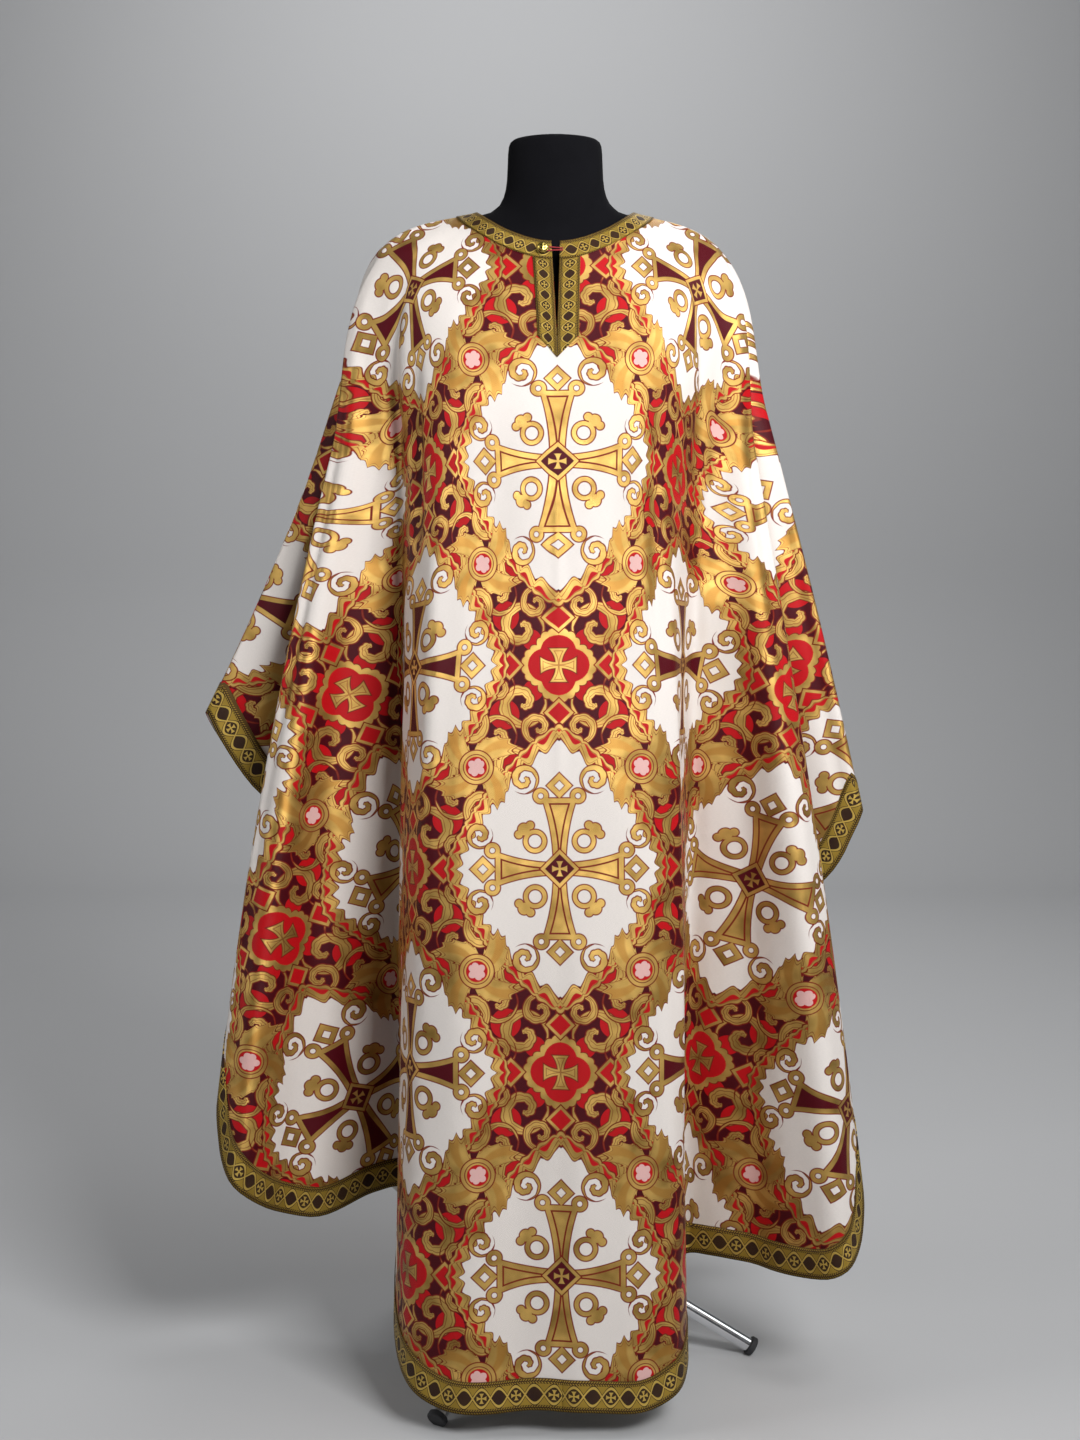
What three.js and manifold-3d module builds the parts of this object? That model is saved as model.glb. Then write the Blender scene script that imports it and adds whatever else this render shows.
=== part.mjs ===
// A phelonion, the bell-shaped brocade vestment of a priest, worn on a limbless dress form with a
// chrome tripod stand. Millimetres, +Z up, the wearer's front towards -Y, origin at the floor in
// the middle of the bounding box.
//
// The cloth is one closed loop of ribs, each running from the neckline over the shoulder ("yoke")
// and down to the hem. Rib by rib the hem swings out and back in, which makes the hanging folds.

import * as THREE from 'three';
import Module from 'manifold-3d';

const wasm = await Module();
wasm.setup();

// ---- driving dimensions -------------------------------------------------------------------------

const CLOTH_WALL = 2; // interlined brocade
const GALLOON_WALL = 1.2;
const SEAT = 0.3; // gap between pieces that touch
const SEAM_HALF_GAP = SEAT / 2;
const NECK_GALLOON_WIDTH = 27;
const HEM_GALLOON_WIDTH = 41;
const SLIT_HALF_GAP = 5.5; // at the neckline, closing to nothing at the foot of the slit
const SLIT_FOOT_HEIGHT = 1386;
const PLACKET_TIP_HEIGHT = 1361;

// Neckline: an ellipse seen from above, low in front and high behind.
const NECKLINE = { x: 4, y: -6, halfWidth: 104, halfDepth: 86, front: 1512, side: 1559, back: 1577 };

// Share of a rib's parameter that lies between the neckline and the yoke point.
const SHOULDER_SHARE = 0.16;
const KNEE_SHARE = 0.28; // part of the drop in which the cloth bends from shoulder to fall
const KNEE_LIMIT = 260;
const NECK_LIFT = 0.18; // how much flatter than its chord a rib leaves the neckline
const SHOULDER_CURL = 1.05; // end slopes of the shoulder stage, as a share of its chord
const SHOULDER_ARC = 1.06; // its length, as a share of its chord

// One row for each fold line, round from the centre front over the left arm, the back and the
// right arm. `neck` is the angle round the neckline from the centre front, `yoke` the point where
// the cloth leaves the shoulders, `hem` its lower end and `belly` how far the fall bows outwards.
const RIBS = [
  { name: 'centre front', neck: 0, yoke: [6, -146, 1335], hem: [12, -270, 36], belly: 0 },
  { name: 'left placket line', neck: -17.3, yoke: [-17, -147, 1336], hem: [-16, -272, 37], belly: 0 },
  { name: 'front left', neck: -36, yoke: [-76, -145, 1352], hem: [-78, -273, 34], belly: 0 },
  { name: 'front left edge', neck: -52, yoke: [-122, -134, 1382], hem: [-140, -268, 38], belly: 0 },
  { name: 'left turn', neck: -62, yoke: [-150, -116, 1410], hem: [-186, -238, 60], belly: 0 },
  { name: 'left wall', neck: -68, yoke: [-172, -98, 1432], hem: [-208, -150, 100], belly: 0 },
  { name: 'left wall inside', neck: -73, yoke: [-187, -82, 1450], hem: [-205, -50, 180], belly: 0 },
  { name: 'left valley', neck: -76, yoke: [-197, -71, 1462], hem: [-205, 20, 225], belly: 0 },
  { name: 'left lobe inside', neck: -79, yoke: [-205, -62, 1472], hem: [-248, 0, 228], belly: 0 },
  { name: 'left lobe face', neck: -82, yoke: [-212, -53, 1481], hem: [-325, -75, 218], belly: 10 },
  { name: 'left lobe front', neck: -84, yoke: [-218, -45, 1488], hem: [-405, -138, 270], belly: 18 },
  { name: 'left lobe ridge', neck: -86, yoke: [-222, -38, 1494], hem: [-440, -122, 335], belly: 22 },
  { name: 'left lobe side', neck: -88, yoke: [-225, -31, 1499], hem: [-428, -88, 440], belly: 22 },
  { name: 'left fold', neck: -89, yoke: [-227, -25, 1503], hem: [-305, 5, 575], belly: 8 },
  { name: 'left arm inside', neck: -90, yoke: [-228, -18, 1507], hem: [-302, 42, 690], belly: 0 },
  { name: 'left arm face', neck: -92, yoke: [-229, -11, 1510], hem: [-408, 4, 796], belly: -10 },
  { name: 'left arm', neck: -94, yoke: [-230, 0, 1512], hem: [-472, 10, 897], belly: -18 },
  { name: 'left arm back', neck: -98, yoke: [-229, 12, 1510], hem: [-440, 75, 820], belly: -10 },
  { name: 'back left fold', neck: -102, yoke: [-227, 26, 1504], hem: [-335, 88, 700], belly: 0 },
  { name: 'back left hollow', neck: -105, yoke: [-224, 36, 1498], hem: [-325, 112, 560], belly: 8 },
  { name: 'back left side', neck: -108, yoke: [-219, 47, 1490], hem: [-420, 155, 420], belly: 18 },
  { name: 'back left ridge', neck: -112, yoke: [-212, 58, 1482], hem: [-415, 222, 330], belly: 18 },
  { name: 'back left face', neck: -117, yoke: [-200, 72, 1470], hem: [-320, 195, 235], belly: 8 },
  { name: 'back left valley', neck: -124, yoke: [-182, 90, 1453], hem: [-225, 120, 190], belly: 0 },
  { name: 'back left wall', neck: -132, yoke: [-158, 107, 1432], hem: [-200, 215, 100], belly: 0 },
  { name: 'back left edge', neck: -142, yoke: [-122, 122, 1408], hem: [-160, 268, 45], belly: 0 },
  { name: 'back left', neck: -158, yoke: [-66, 132, 1385], hem: [-80, 262, 30], belly: 0 },
  { name: 'centre back', neck: -180, yoke: [0, 136, 1375], hem: [5, 285, 28], belly: 0 },
  { name: 'back right', neck: -202, yoke: [66, 132, 1385], hem: [88, 262, 30], belly: 0 },
  { name: 'back right edge', neck: -218, yoke: [122, 122, 1408], hem: [165, 262, 45], belly: 0 },
  { name: 'back right wall', neck: -228, yoke: [158, 107, 1432], hem: [195, 200, 100], belly: 0 },
  { name: 'back right valley', neck: -236, yoke: [182, 90, 1453], hem: [215, 110, 180], belly: 0 },
  { name: 'back right face', neck: -243, yoke: [200, 72, 1470], hem: [300, 190, 215], belly: 8 },
  { name: 'back right ridge', neck: -248, yoke: [212, 58, 1482], hem: [398, 218, 290], belly: 16 },
  { name: 'back right side', neck: -252, yoke: [219, 47, 1490], hem: [395, 152, 380], belly: 16 },
  { name: 'back right hollow', neck: -255, yoke: [222, 36, 1498], hem: [300, 118, 465], belly: 8 },
  { name: 'back right fold', neck: -258, yoke: [224, 26, 1503], hem: [312, 92, 590], belly: 0 },
  { name: 'right arm back', neck: -262, yoke: [225, 12, 1508], hem: [395, 80, 690], belly: 5 },
  { name: 'right arm', neck: -266, yoke: [225, 0, 1510], hem: [425, 12, 762], belly: 8 },
  { name: 'right arm face', neck: -268, yoke: [224, -11, 1509], hem: [385, 2, 680], belly: 4 },
  { name: 'right arm inside', neck: -270, yoke: [223, -18, 1506], hem: [290, 42, 570], belly: 0 },
  { name: 'right fold', neck: -271, yoke: [222, -25, 1503], hem: [288, 5, 450], belly: 4 },
  { name: 'right lobe side', neck: -272, yoke: [220, -31, 1499], hem: [398, -85, 325], belly: 12 },
  { name: 'right lobe ridge', neck: -274, yoke: [217, -38, 1494], hem: [412, -122, 215], belly: 12 },
  { name: 'right lobe front', neck: -276, yoke: [213, -45, 1488], hem: [372, -150, 165], belly: 12 },
  { name: 'right lobe face', neck: -279, yoke: [207, -54, 1480], hem: [290, -112, 158], belly: 6 },
  { name: 'right lobe inside', neck: -282, yoke: [200, -63, 1471], hem: [222, -62, 160], belly: 0 },
  { name: 'right valley', neck: -286, yoke: [190, -75, 1459], hem: [178, -40, 150], belly: 0 },
  { name: 'right wall', neck: -293, yoke: [170, -97, 1434], hem: [172, -110, 105], belly: 0 },
  { name: 'right wall turn', neck: -299, yoke: [150, -114, 1412], hem: [176, -190, 72], belly: 0 },
  { name: 'right turn', neck: -309, yoke: [124, -132, 1384], hem: [158, -250, 48], belly: 0 },
  { name: 'front right edge', neck: -323, yoke: [80, -145, 1354], hem: [112, -272, 34], belly: 0 },
  { name: 'right placket line', neck: -342.1, yoke: [33, -147, 1337], hem: [38, -271, 36], belly: 0 },
];

const COLUMNS_PER_RIB = 2;
const FALL_ROWS = [0.05, 0.11, 0.18, 0.28, 0.42, 0.58, 0.76]; // shares of the drop

// Dress form: level ellipses below the shoulders, and a round neck above them.
const TORSO = [
  { name: 'chest', height: 1270, halfWidth: 168, halfDepth: 116 },
  { name: 'lower chest', height: 1180, halfWidth: 156, halfDepth: 110 },
  { name: 'waist', height: 1080, halfWidth: 142, halfDepth: 102 },
  { name: 'high hip', height: 970, halfWidth: 156, halfDepth: 112 },
  { name: 'hip', height: 880, halfWidth: 165, halfDepth: 118 },
  { name: 'base', height: 806, halfWidth: 160, halfDepth: 114 },
  { name: 'base edge', height: 800, halfWidth: 154, halfDepth: 108 },
];
const FORM_NECK = [
  { height: 1655, radius: 54 },
  { height: 1651, radius: 60 },
  { height: 1642, radius: 62.5 },
  { height: 1600, radius: 63 },
];
const FORM_NECK_X = 4;
const FORM_NECK_FLARE = { lift: 22, radius: 67 }; // just above the neckline
const FORM_NECK_BASE = { halfWidth: 78, halfDepth: 70.2 }; // level with the neckline
const FORM_CLEARANCE = 0.4; // between the shoulders and the cloth that lies on them
const CHEST_HOLLOW = 28; // how far the chest lies behind the cloth at the yoke
const CHEST_HOLLOW_AT_NECK = 0.25; // share of that hollow where the slope starts
const SHOULDER_TOP = [30, 110]; // depth from the shoulder line where the cloth lifts off the form
const YOKE_HALF = { width: 230, depth: 146 }; // the yoke's outline, for turning the torso's columns
const CHEST_BEND = { leave: 22, rise: 0.45, rows: [0.22, 0.42, 0.62, 0.82] }; // shoulder to chest

const POLE = { radius: 12.5, sides: 32 };
const HUB = { radius: 24, bottom: 138, top: 204, bevel: 2, sides: 48 };
const LEG = { radius: 10, reach: 282, rise: 172, first: -32, count: 3, sides: 24 };
// A foot's lower rim lies `sunk` under the floor, where it is cut flat.
const FOOT = { radius: 13.5, length: 9, bevel: 1.5, sunk: 3, sides: 32 };
const CUTTER = { height: 400, floor: 1200 }; // larger than anything that they trim

// The dome rises from `rimHeight` over the flat back, which stands on a stem.
const BUTTON = {
  x: -12, radius: 7.5, stem: 2.2, stemHeight: 2.8, backRadius: 6.5, rimHeight: 3.8, dome: 4.96,
  domeRows: 5, sides: 20,
};
// `side` is how far each strand lies from the loop's middle line.
const LOOP = { radius: 0.9, end: 14, endSide: 1.4, steps: 40, sides: 8 };
const LOOP_STRANDS = [
  { fromButton: 14, side: 2 },
  { fromButton: 6, side: 2.9 },
];
const LOOP_BEND_TURNS = [90, 120, 150, 180, 210, 240, 270];

const COLOURS = {
  brocade: 0x9c3a24,
  galloon: 0x8a6a1e,
  gilt: 0xc9a03a,
  cord: 0xa81c22,
  formCloth: 0x0c0c0e,
  chrome: 0xd9dcdf,
  rubber: 0x101011,
};

// ---- the cloth's surface --------------------------------------------------------------------------

const up = new THREE.Vector3(0, 0, 1);
const vector = (values) => new THREE.Vector3(...values);
const radians = THREE.MathUtils.degToRad;

function necklinePoint(degrees) {
  const angle = radians(degrees);
  const front = Math.max(Math.cos(angle), 0) ** 2;
  const back = Math.max(-Math.cos(angle), 0) ** 2;
  const { x, y, halfWidth, halfDepth, side } = NECKLINE;
  const height = side + (NECKLINE.front - side) * front + (NECKLINE.back - side) * back;
  return new THREE.Vector3(x + halfWidth * Math.sin(angle), y - halfDepth * Math.cos(angle), height);
}

// A smooth closed curve through one column of the rib table.
function roundTheLoop(points) {
  const curve = new THREE.CatmullRomCurve3(points, true, 'catmullrom', 0.5);
  return (rib) => curve.getPoint((((rib % RIBS.length) + RIBS.length) % RIBS.length) / RIBS.length);
}

const neckAt = roundTheLoop(RIBS.map((rib) => necklinePoint(rib.neck)));
const yokeAt = roundTheLoop(RIBS.map((rib) => vector(rib.yoke)));
const hemAt = roundTheLoop(RIBS.map((rib) => vector(rib.hem)));
const bellyAt = roundTheLoop(RIBS.map((rib) => new THREE.Vector3(rib.belly, 0, 0)));

function hermite(from, fromSlope, to, toSlope, t) {
  const t2 = t * t;
  const t3 = t2 * t;
  return new THREE.Vector3()
    .addScaledVector(from, 2 * t3 - 3 * t2 + 1)
    .addScaledVector(fromSlope, t3 - 2 * t2 + t)
    .addScaledVector(to, 3 * t2 - 2 * t3)
    .addScaledVector(toSlope, t3 - t2);
}

// Point of the outer surface: `rib` counts round the loop, `v` runs from neckline 0 to hem 1.
function clothPoint(rib, v) {
  const neck = neckAt(rib);
  const yoke = yokeAt(rib);
  const hem = hemAt(rib);
  const drop = hem.clone().sub(yoke);
  const dropLength = drop.length();
  const shoulder = yoke.clone().sub(neck);
  const shoulderLength = shoulder.length();
  const fall = drop.clone().normalize();
  const slope = shoulder.clone().normalize();
  const bend = fall.clone().add(slope).normalize();
  if (v < SHOULDER_SHARE) {
    const leave = slope.clone().addScaledVector(up, NECK_LIFT).normalize();
    const stretch = shoulderLength * SHOULDER_CURL;
    return hermite(
      neck, leave.multiplyScalar(stretch), yoke, bend.multiplyScalar(stretch), v / SHOULDER_SHARE);
  }
  const t = (v - SHOULDER_SHARE) / (1 - SHOULDER_SHARE);
  const knee = Math.min(KNEE_SHARE * dropLength, KNEE_LIMIT);
  const kneeShare = knee / dropLength;
  const point = yoke.clone().addScaledVector(drop, t);
  if (t < kneeShare) {
    const kneePoint = yoke.clone().addScaledVector(fall, knee);
    point.copy(hermite(
      yoke, bend.multiplyScalar(knee), kneePoint, fall.clone().multiplyScalar(knee), t / kneeShare));
  }
  const outwards = yoke.clone().add(hem).setZ(0).normalize();
  return point.addScaledVector(outwards, bellyAt(rib).x * 4 * t * (1 - t));
}

const STEP = 0.01; // of a rib's parameter
const CLOSE_ENOUGH = 1e-6; // when a search by halves stops
const NEXT_COLUMN = 1 / COLUMNS_PER_RIB;
const MOST_STRETCH = 1.6;
const LEAST_SLANT = 0.5; // sine of the angle between rib and hem

// Point, direction round the loop and outward offset for one unit of distance. The offset halves
// the angle between the two neighbouring facets and is stretched so that both move by one unit.
function clothFrame(rib, v) {
  const point = clothPoint(rib, v);
  const ahead = clothPoint(rib + NEXT_COLUMN, v).sub(point).normalize();
  const behind = point.clone().sub(clothPoint(rib - NEXT_COLUMN, v)).normalize();
  const along = ahead.clone().add(behind).normalize();
  const above = Math.max(v - STEP, 0);
  const below = Math.min(v + STEP, 1);
  const down = clothPoint(rib, below).sub(clothPoint(rib, above)).normalize();
  const stretch = Math.min(1 / along.dot(ahead), MOST_STRETCH);
  const out = along.clone().cross(down).normalize().multiplyScalar(stretch);
  return { point, along, out };
}

// Share of the shoulder stage at which the centre front reaches a height.
function frontShareAt(height) {
  let low = 0;
  let high = 1;
  while (high - low > CLOSE_ENOUGH) {
    const middle = (low + high) / 2;
    if (clothPoint(0, middle * SHOULDER_SHARE).z > height) low = middle;
    else high = middle;
  }
  return low;
}

const SLIT_FOOT = frontShareAt(SLIT_FOOT_HEIGHT) * SHOULDER_SHARE;
const PLACKET_TIP = frontShareAt(PLACKET_TIP_HEIGHT) * SHOULDER_SHARE;

function neckGalloonEdge(rib, width = NECK_GALLOON_WIDTH) {
  return (SHOULDER_SHARE * width) / (neckAt(rib).distanceTo(yokeAt(rib)) * SHOULDER_ARC);
}

// The galloon keeps its width at right angles to the hem, which rises steeply towards the arms.
function hemGalloonEdge(rib) {
  const drop = hemAt(rib).sub(yokeAt(rib));
  const alongHem = hemAt(rib + STEP).sub(hemAt(rib - STEP)).normalize();
  const slant = drop.clone().normalize().cross(alongHem).length();
  return 1 - ((1 - SHOULDER_SHARE) * HEM_GALLOON_WIDTH) / (drop.length() * Math.max(slant, LEAST_SLANT));
}

// Rows of a rib from neckline to hem, shared by everything that is laid on the cloth.
function rowsOf(rib) {
  const edge = neckGalloonEdge(rib);
  const blend = (share) => edge + (SLIT_FOOT - edge) * share;
  return [
    0, edge, blend(0.33), blend(0.67), SLIT_FOOT, PLACKET_TIP, SHOULDER_SHARE,
    ...FALL_ROWS.map((share) => SHOULDER_SHARE + (1 - SHOULDER_SHARE) * share),
    hemGalloonEdge(rib), 1,
  ];
}
const NECK_EDGE_ROW = 1;
const SLIT_FOOT_ROW = 4;
const TIP_ROW = 5;
const HEM_EDGE_ROW = rowsOf(0).length - 2;
const HEM_ROW = rowsOf(0).length - 1;

// A column of the cloth. `slit` is -1 or 1 on the left or right edge of the slit, and `seam` shifts
// the column along the loop, away from a seam.
const column = (rib, { slit = 0, seam = 0 } = {}) => ({ rib, slit, seam });

function slitShift(v, least = 0) {
  return Math.max(SLIT_HALF_GAP * (1 - Math.min(v / SLIT_FOOT, 1)), least);
}

function columnsBetween(first, last) {
  const count = Math.round((last - first) * COLUMNS_PER_RIB);
  return Array.from({ length: count + 1 }, (_, i) => first + i / COLUMNS_PER_RIB);
}

// ---- closed bodies from skins -----------------------------------------------------------------------

// Points that round to the same place are the same vertex.
const ROUNDING = 1e4; // steps to a millimetre
const placeKey = (point) => point.toArray().map((value) => Math.round(value * ROUNDING)).join();

function meshGeometry(points, triangles) {
  const geometry = new THREE.BufferGeometry();
  geometry.setAttribute('position', new THREE.Float32BufferAttribute(
    points.flatMap((point) => point.toArray()), 3));
  geometry.setIndex(triangles.flat());
  geometry.computeVertexNormals();
  return geometry;
}

// Closes two skins that share their triangles with a wall along every open edge.
function closeSkins(outer, inner, triangles) {
  const count = outer.length;
  const faces = [];
  const open = new Map();
  for (const [a, b, c] of triangles) {
    faces.push([a, b, c], [a + count, c + count, b + count]);
    for (const [from, to] of [[a, b], [b, c], [c, a]]) {
      if (!open.delete(`${to},${from}`)) open.set(`${from},${to}`, [from, to]);
    }
  }
  for (const [from, to] of open.values()) {
    faces.push([to, from, from + count], [to, from + count, to + count]);
  }
  return meshGeometry([...outer, ...inner], faces);
}

// A wall on the cloth's surface, over strips of columns and a range of rows. The skins lie at
// `top` and `bottom` over the cloth's outer surface. `rowsFor` gives the rows of one column.
function clothWall(strips, rowsFor, top, bottom, slitLeast = 0) {
  const outer = [];
  const inner = [];
  const known = new Map();
  const triangles = [];
  const vertex = ({ rib, slit, seam }, v) => {
    const { point, along, out } = clothFrame(rib, v);
    point.addScaledVector(along, seam * SEAM_HALF_GAP);
    point.x += slit * slitShift(v, slitLeast);
    const key = placeKey(point);
    if (!known.has(key)) {
      known.set(key, outer.length);
      outer.push(point.clone().addScaledVector(out, top));
      inner.push(point.clone().addScaledVector(out, bottom));
    }
    return known.get(key);
  };
  for (const strip of strips) {
    const grid = strip.map((item) => rowsFor(item).map((v) => vertex(item, v)));
    for (let i = 0; i + 1 < grid.length; i += 1) {
      const rows = Math.max(grid[i].length, grid[i + 1].length);
      for (let j = 0; j + 1 < rows; j += 1) {
        const [a, b] = [grid[i][j], grid[i + 1][j]];
        const [c, d] = [grid[i + 1][j + 1], grid[i][j + 1]];
        const towardsCentre = strip[i + 1].slit > 0 || strip[i + 1].rib > RIBS.length - 2;
        const cell = towardsCentre ? [[a, b, c], [a, c, d]] : [[a, b, d], [b, c, d]];
        triangles.push(...cell.filter((face) => !face.includes(undefined)));
      }
    }
  }
  return closeSkins(outer, inner, triangles);
}

// ---- the sewn pieces --------------------------------------------------------------------------------

const LEFT_SEAM = RIBS.findIndex((rib) => rib.name === 'left arm');
const RIGHT_SEAM = RIBS.findIndex((rib) => rib.name === 'right arm');
const LOOP_END = RIBS.length;
const LEFT_PLACKET_LINE = 1;
const RIGHT_PLACKET_LINE = RIBS.length - 1;

const slitRight = column(LOOP_END, { slit: 1 });
const slitLeft = column(0, { slit: -1 });
const plain = (ribs) => ribs.map((rib) => column(rib));

function frontStrips(seamed) {
  const shift = seamed ? 1 : 0;
  const right = [
    column(RIGHT_SEAM, { seam: shift }),
    ...plain(columnsBetween(RIGHT_SEAM, RIGHT_PLACKET_LINE).slice(1)),
    slitRight,
  ];
  const left = [
    slitLeft,
    ...plain(columnsBetween(LEFT_PLACKET_LINE, LEFT_SEAM).slice(0, -1)),
    column(LEFT_SEAM, { seam: -shift }),
  ];
  return { right, left };
}

function backStrip(seamed) {
  const shift = seamed ? 1 : 0;
  const middle = plain(columnsBetween(LEFT_SEAM, RIGHT_SEAM).slice(1, -1));
  return [column(LEFT_SEAM, { seam: shift }), ...middle, column(RIGHT_SEAM, { seam: -shift })];
}

function buildFront() {
  const { right, left } = frontStrips(true);
  return clothWall([right, left], ({ rib }) => rowsOf(rib), 0, -CLOTH_WALL);
}

function buildBack() {
  return clothWall([backStrip(true)], ({ rib }) => rowsOf(rib), 0, -CLOTH_WALL);
}

const galloonTop = SEAT + GALLOON_WALL;

function buildNeckBand() {
  const { right, left } = frontStrips(false);
  const round = [...left, ...backStrip(false).slice(1, -1), ...right];
  return clothWall([round], ({ rib }) => rowsOf(rib).slice(0, NECK_EDGE_ROW + 1), galloonTop, SEAT);
}

function buildHemBand() {
  const { right, left } = frontStrips(false);
  const round = [...left, ...backStrip(false).slice(1, -1), ...right];
  return clothWall([round], ({ rib }) => rowsOf(rib).slice(HEM_EDGE_ROW, HEM_ROW + 1), galloonTop, SEAT);
}

// The placket's upper end keeps clear of the neck galloon, and its lower end is mitred to the tip.
function buildPlacket(side) {
  const rowsFor = ({ rib, slit }) => {
    const start = neckGalloonEdge(rib, NECK_GALLOON_WIDTH + SEAT);
    return [start, ...rowsOf(rib).slice(NECK_EDGE_ROW + 1, slit ? TIP_ROW + 1 : SLIT_FOOT_ROW + 1)];
  };
  const strip = side < 0
    ? [slitLeft, column(LEFT_PLACKET_LINE)]
    : [column(RIGHT_PLACKET_LINE), slitRight];
  return clothWall([strip], rowsFor, galloonTop, SEAT, SEAM_HALF_GAP);
}

// ---- button and loop ----------------------------------------------------------------------------------

// The place on top of the neck galloon at a distance from the centre front.
function neckGalloonSpot(x) {
  const start = x < 0 ? 0 : LOOP_END;
  const towards = x < 0 ? 1 : -1;
  const v = neckGalloonEdge(0) / 2;
  let share = 0;
  while (Math.abs(clothPoint(start + towards * share, v).x) < Math.abs(x)) share += STEP;
  const { point, out } = clothFrame(start + towards * share, v);
  return { spot: point.addScaledVector(out, galloonTop), out };
}

function turned(profile, segments) {
  const lathe = new THREE.LatheGeometry(profile.map(([r, h]) => new THREE.Vector2(r, h)), segments);
  lathe.rotateX(Math.PI / 2); // from +Y to +Z
  return lathe;
}

function buildButton() {
  const { radius, stem, stemHeight, backRadius, rimHeight, domeRows } = BUTTON;
  const dome = Array.from({ length: domeRows }, (_, i) => {
    const angle = ((i / domeRows) * Math.PI) / 2;
    return [radius * Math.cos(angle), rimHeight + BUTTON.dome * Math.sin(angle)];
  });
  const back = [[0, 0], [stem, 0], [stem, stemHeight], [backRadius, stemHeight]];
  return turned([...back, ...dome, [0, rimHeight + BUTTON.dome]], BUTTON.sides);
}

// A tube of round section along a curve, closed at both ends.
function tube(curve, radius, steps, sides) {
  const section = new THREE.Shape(Array.from({ length: sides }, (_, i) => {
    const angle = (i / sides) * 2 * Math.PI;
    return new THREE.Vector2(radius * Math.cos(angle), radius * Math.sin(angle));
  }));
  return new THREE.ExtrudeGeometry(section, { extrudePath: curve, steps, bevelEnabled: false });
}

// The cord leaves the right edge of the slit, rounds the button's stem and comes back.
function buildLoop(anchor, out, across) {
  const { x } = BUTTON;
  const bendRadius = BUTTON.stem + SEAT + LOOP.radius;
  const lift = SEAT + LOOP.radius;
  const down = out.clone().cross(across).normalize();
  const place = (distance, side) => anchor.clone()
    .addScaledVector(across, distance - x)
    .addScaledVector(down, side)
    .addScaledVector(out, lift);
  const bend = LOOP_BEND_TURNS.map((degrees) => {
    const angle = radians(degrees);
    return place(x + bendRadius * Math.cos(angle), bendRadius * Math.sin(angle));
  });
  const upper = LOOP_STRANDS.map(({ fromButton, side }) => place(x + fromButton, side));
  const lower = LOOP_STRANDS.map(({ fromButton, side }) => place(x + fromButton, -side)).reverse();
  const curve = new THREE.CatmullRomCurve3([
    place(LOOP.end, LOOP.endSide), ...upper, ...bend, ...lower, place(LOOP.end, -LOOP.endSide),
  ]);
  return tube(curve, LOOP.radius, LOOP.steps, LOOP.sides);
}

// ---- dress form and stand -----------------------------------------------------------------------------

const smooth = (value) => THREE.MathUtils.smoothstep(value, 0, 1);

// One column of the form under a rib: neck, shoulder rows just under the cloth, then the torso.
function formColumn(rib) {
  const yoke = yokeAt(rib);
  const turn = Math.atan2(yoke.x / YOKE_HALF.width, -yoke.y / YOKE_HALF.depth);
  const neckAngle = radians(RIBS[rib].neck);
  const level = (height, halfWidth, halfDepth, angle, x = 0) => new THREE.Vector3(
    x + halfWidth * Math.sin(angle), -halfDepth * Math.cos(angle), height);
  const neck = FORM_NECK.map(({ height, radius }) => level(height, radius, radius, neckAngle, FORM_NECK_X));
  const base = necklinePoint(RIBS[rib].neck).z;
  const { lift, radius: flare } = FORM_NECK_FLARE;
  neck.push(level(base + lift, flare, flare, neckAngle, FORM_NECK_X));
  neck.push(level(base, FORM_NECK_BASE.halfWidth, FORM_NECK_BASE.halfDepth, neckAngle, FORM_NECK_X));

  const [near, far] = SHOULDER_TOP;
  const lifted = smooth((Math.abs(yoke.y) - near) / (far - near));
  const shoulderRows = rowsOf(rib).slice(NECK_EDGE_ROW, TIP_ROW + 1);
  const shoulder = shoulderRows.map((v) => {
    const { point, out } = clothFrame(rib, v);
    const slope = THREE.MathUtils.lerp(CHEST_HOLLOW_AT_NECK, 1, v / PLACKET_TIP);
    return point.addScaledVector(out, -(CLOTH_WALL + FORM_CLEARANCE + CHEST_HOLLOW * lifted * slope));
  });
  const [before, last] = shoulder.slice(-2);
  const chest = level(TORSO[0].height, TORSO[0].halfWidth, TORSO[0].halfDepth, turn);
  const leave = last.clone().sub(before).setLength(CHEST_BEND.leave);
  const rise = (last.z - chest.z) * CHEST_BEND.rise;
  const bend = new THREE.CubicBezierCurve3(
    last, last.clone().add(leave), chest.clone().addScaledVector(up, rise), chest);
  const side = CHEST_BEND.rows.map((t) => bend.getPoint(t));
  const torso = TORSO.map((ring) => level(ring.height, ring.halfWidth, ring.halfDepth, turn));
  return [...neck, ...shoulder, ...side, ...torso];
}

function buildForm() {
  const columns = RIBS.map((_, rib) => formColumn(rib));
  const rows = columns[0].length;
  const points = columns.flat();
  const triangles = [];
  for (let i = 0; i < columns.length; i += 1) {
    const next = (i + 1) % columns.length;
    for (let j = 0; j + 1 < rows; j += 1) {
      const [a, b] = [i * rows + j, next * rows + j];
      triangles.push([a, b, a + 1], [b, b + 1, a + 1]);
    }
  }
  const ends = [
    { row: 0, height: FORM_NECK[0].height, x: FORM_NECK_X, flip: true },
    { row: rows - 1, height: TORSO.at(-1).height, x: 0, flip: false },
  ];
  for (const { row, height, x, flip } of ends) {
    const centre = points.push(new THREE.Vector3(x, 0, height)) - 1;
    for (let i = 0; i < columns.length; i += 1) {
      const a = i * rows + row;
      const b = ((i + 1) % columns.length) * rows + row;
      triangles.push(flip ? [b, a, centre] : [a, b, centre]);
    }
  }
  return meshGeometry(points, triangles);
}

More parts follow.
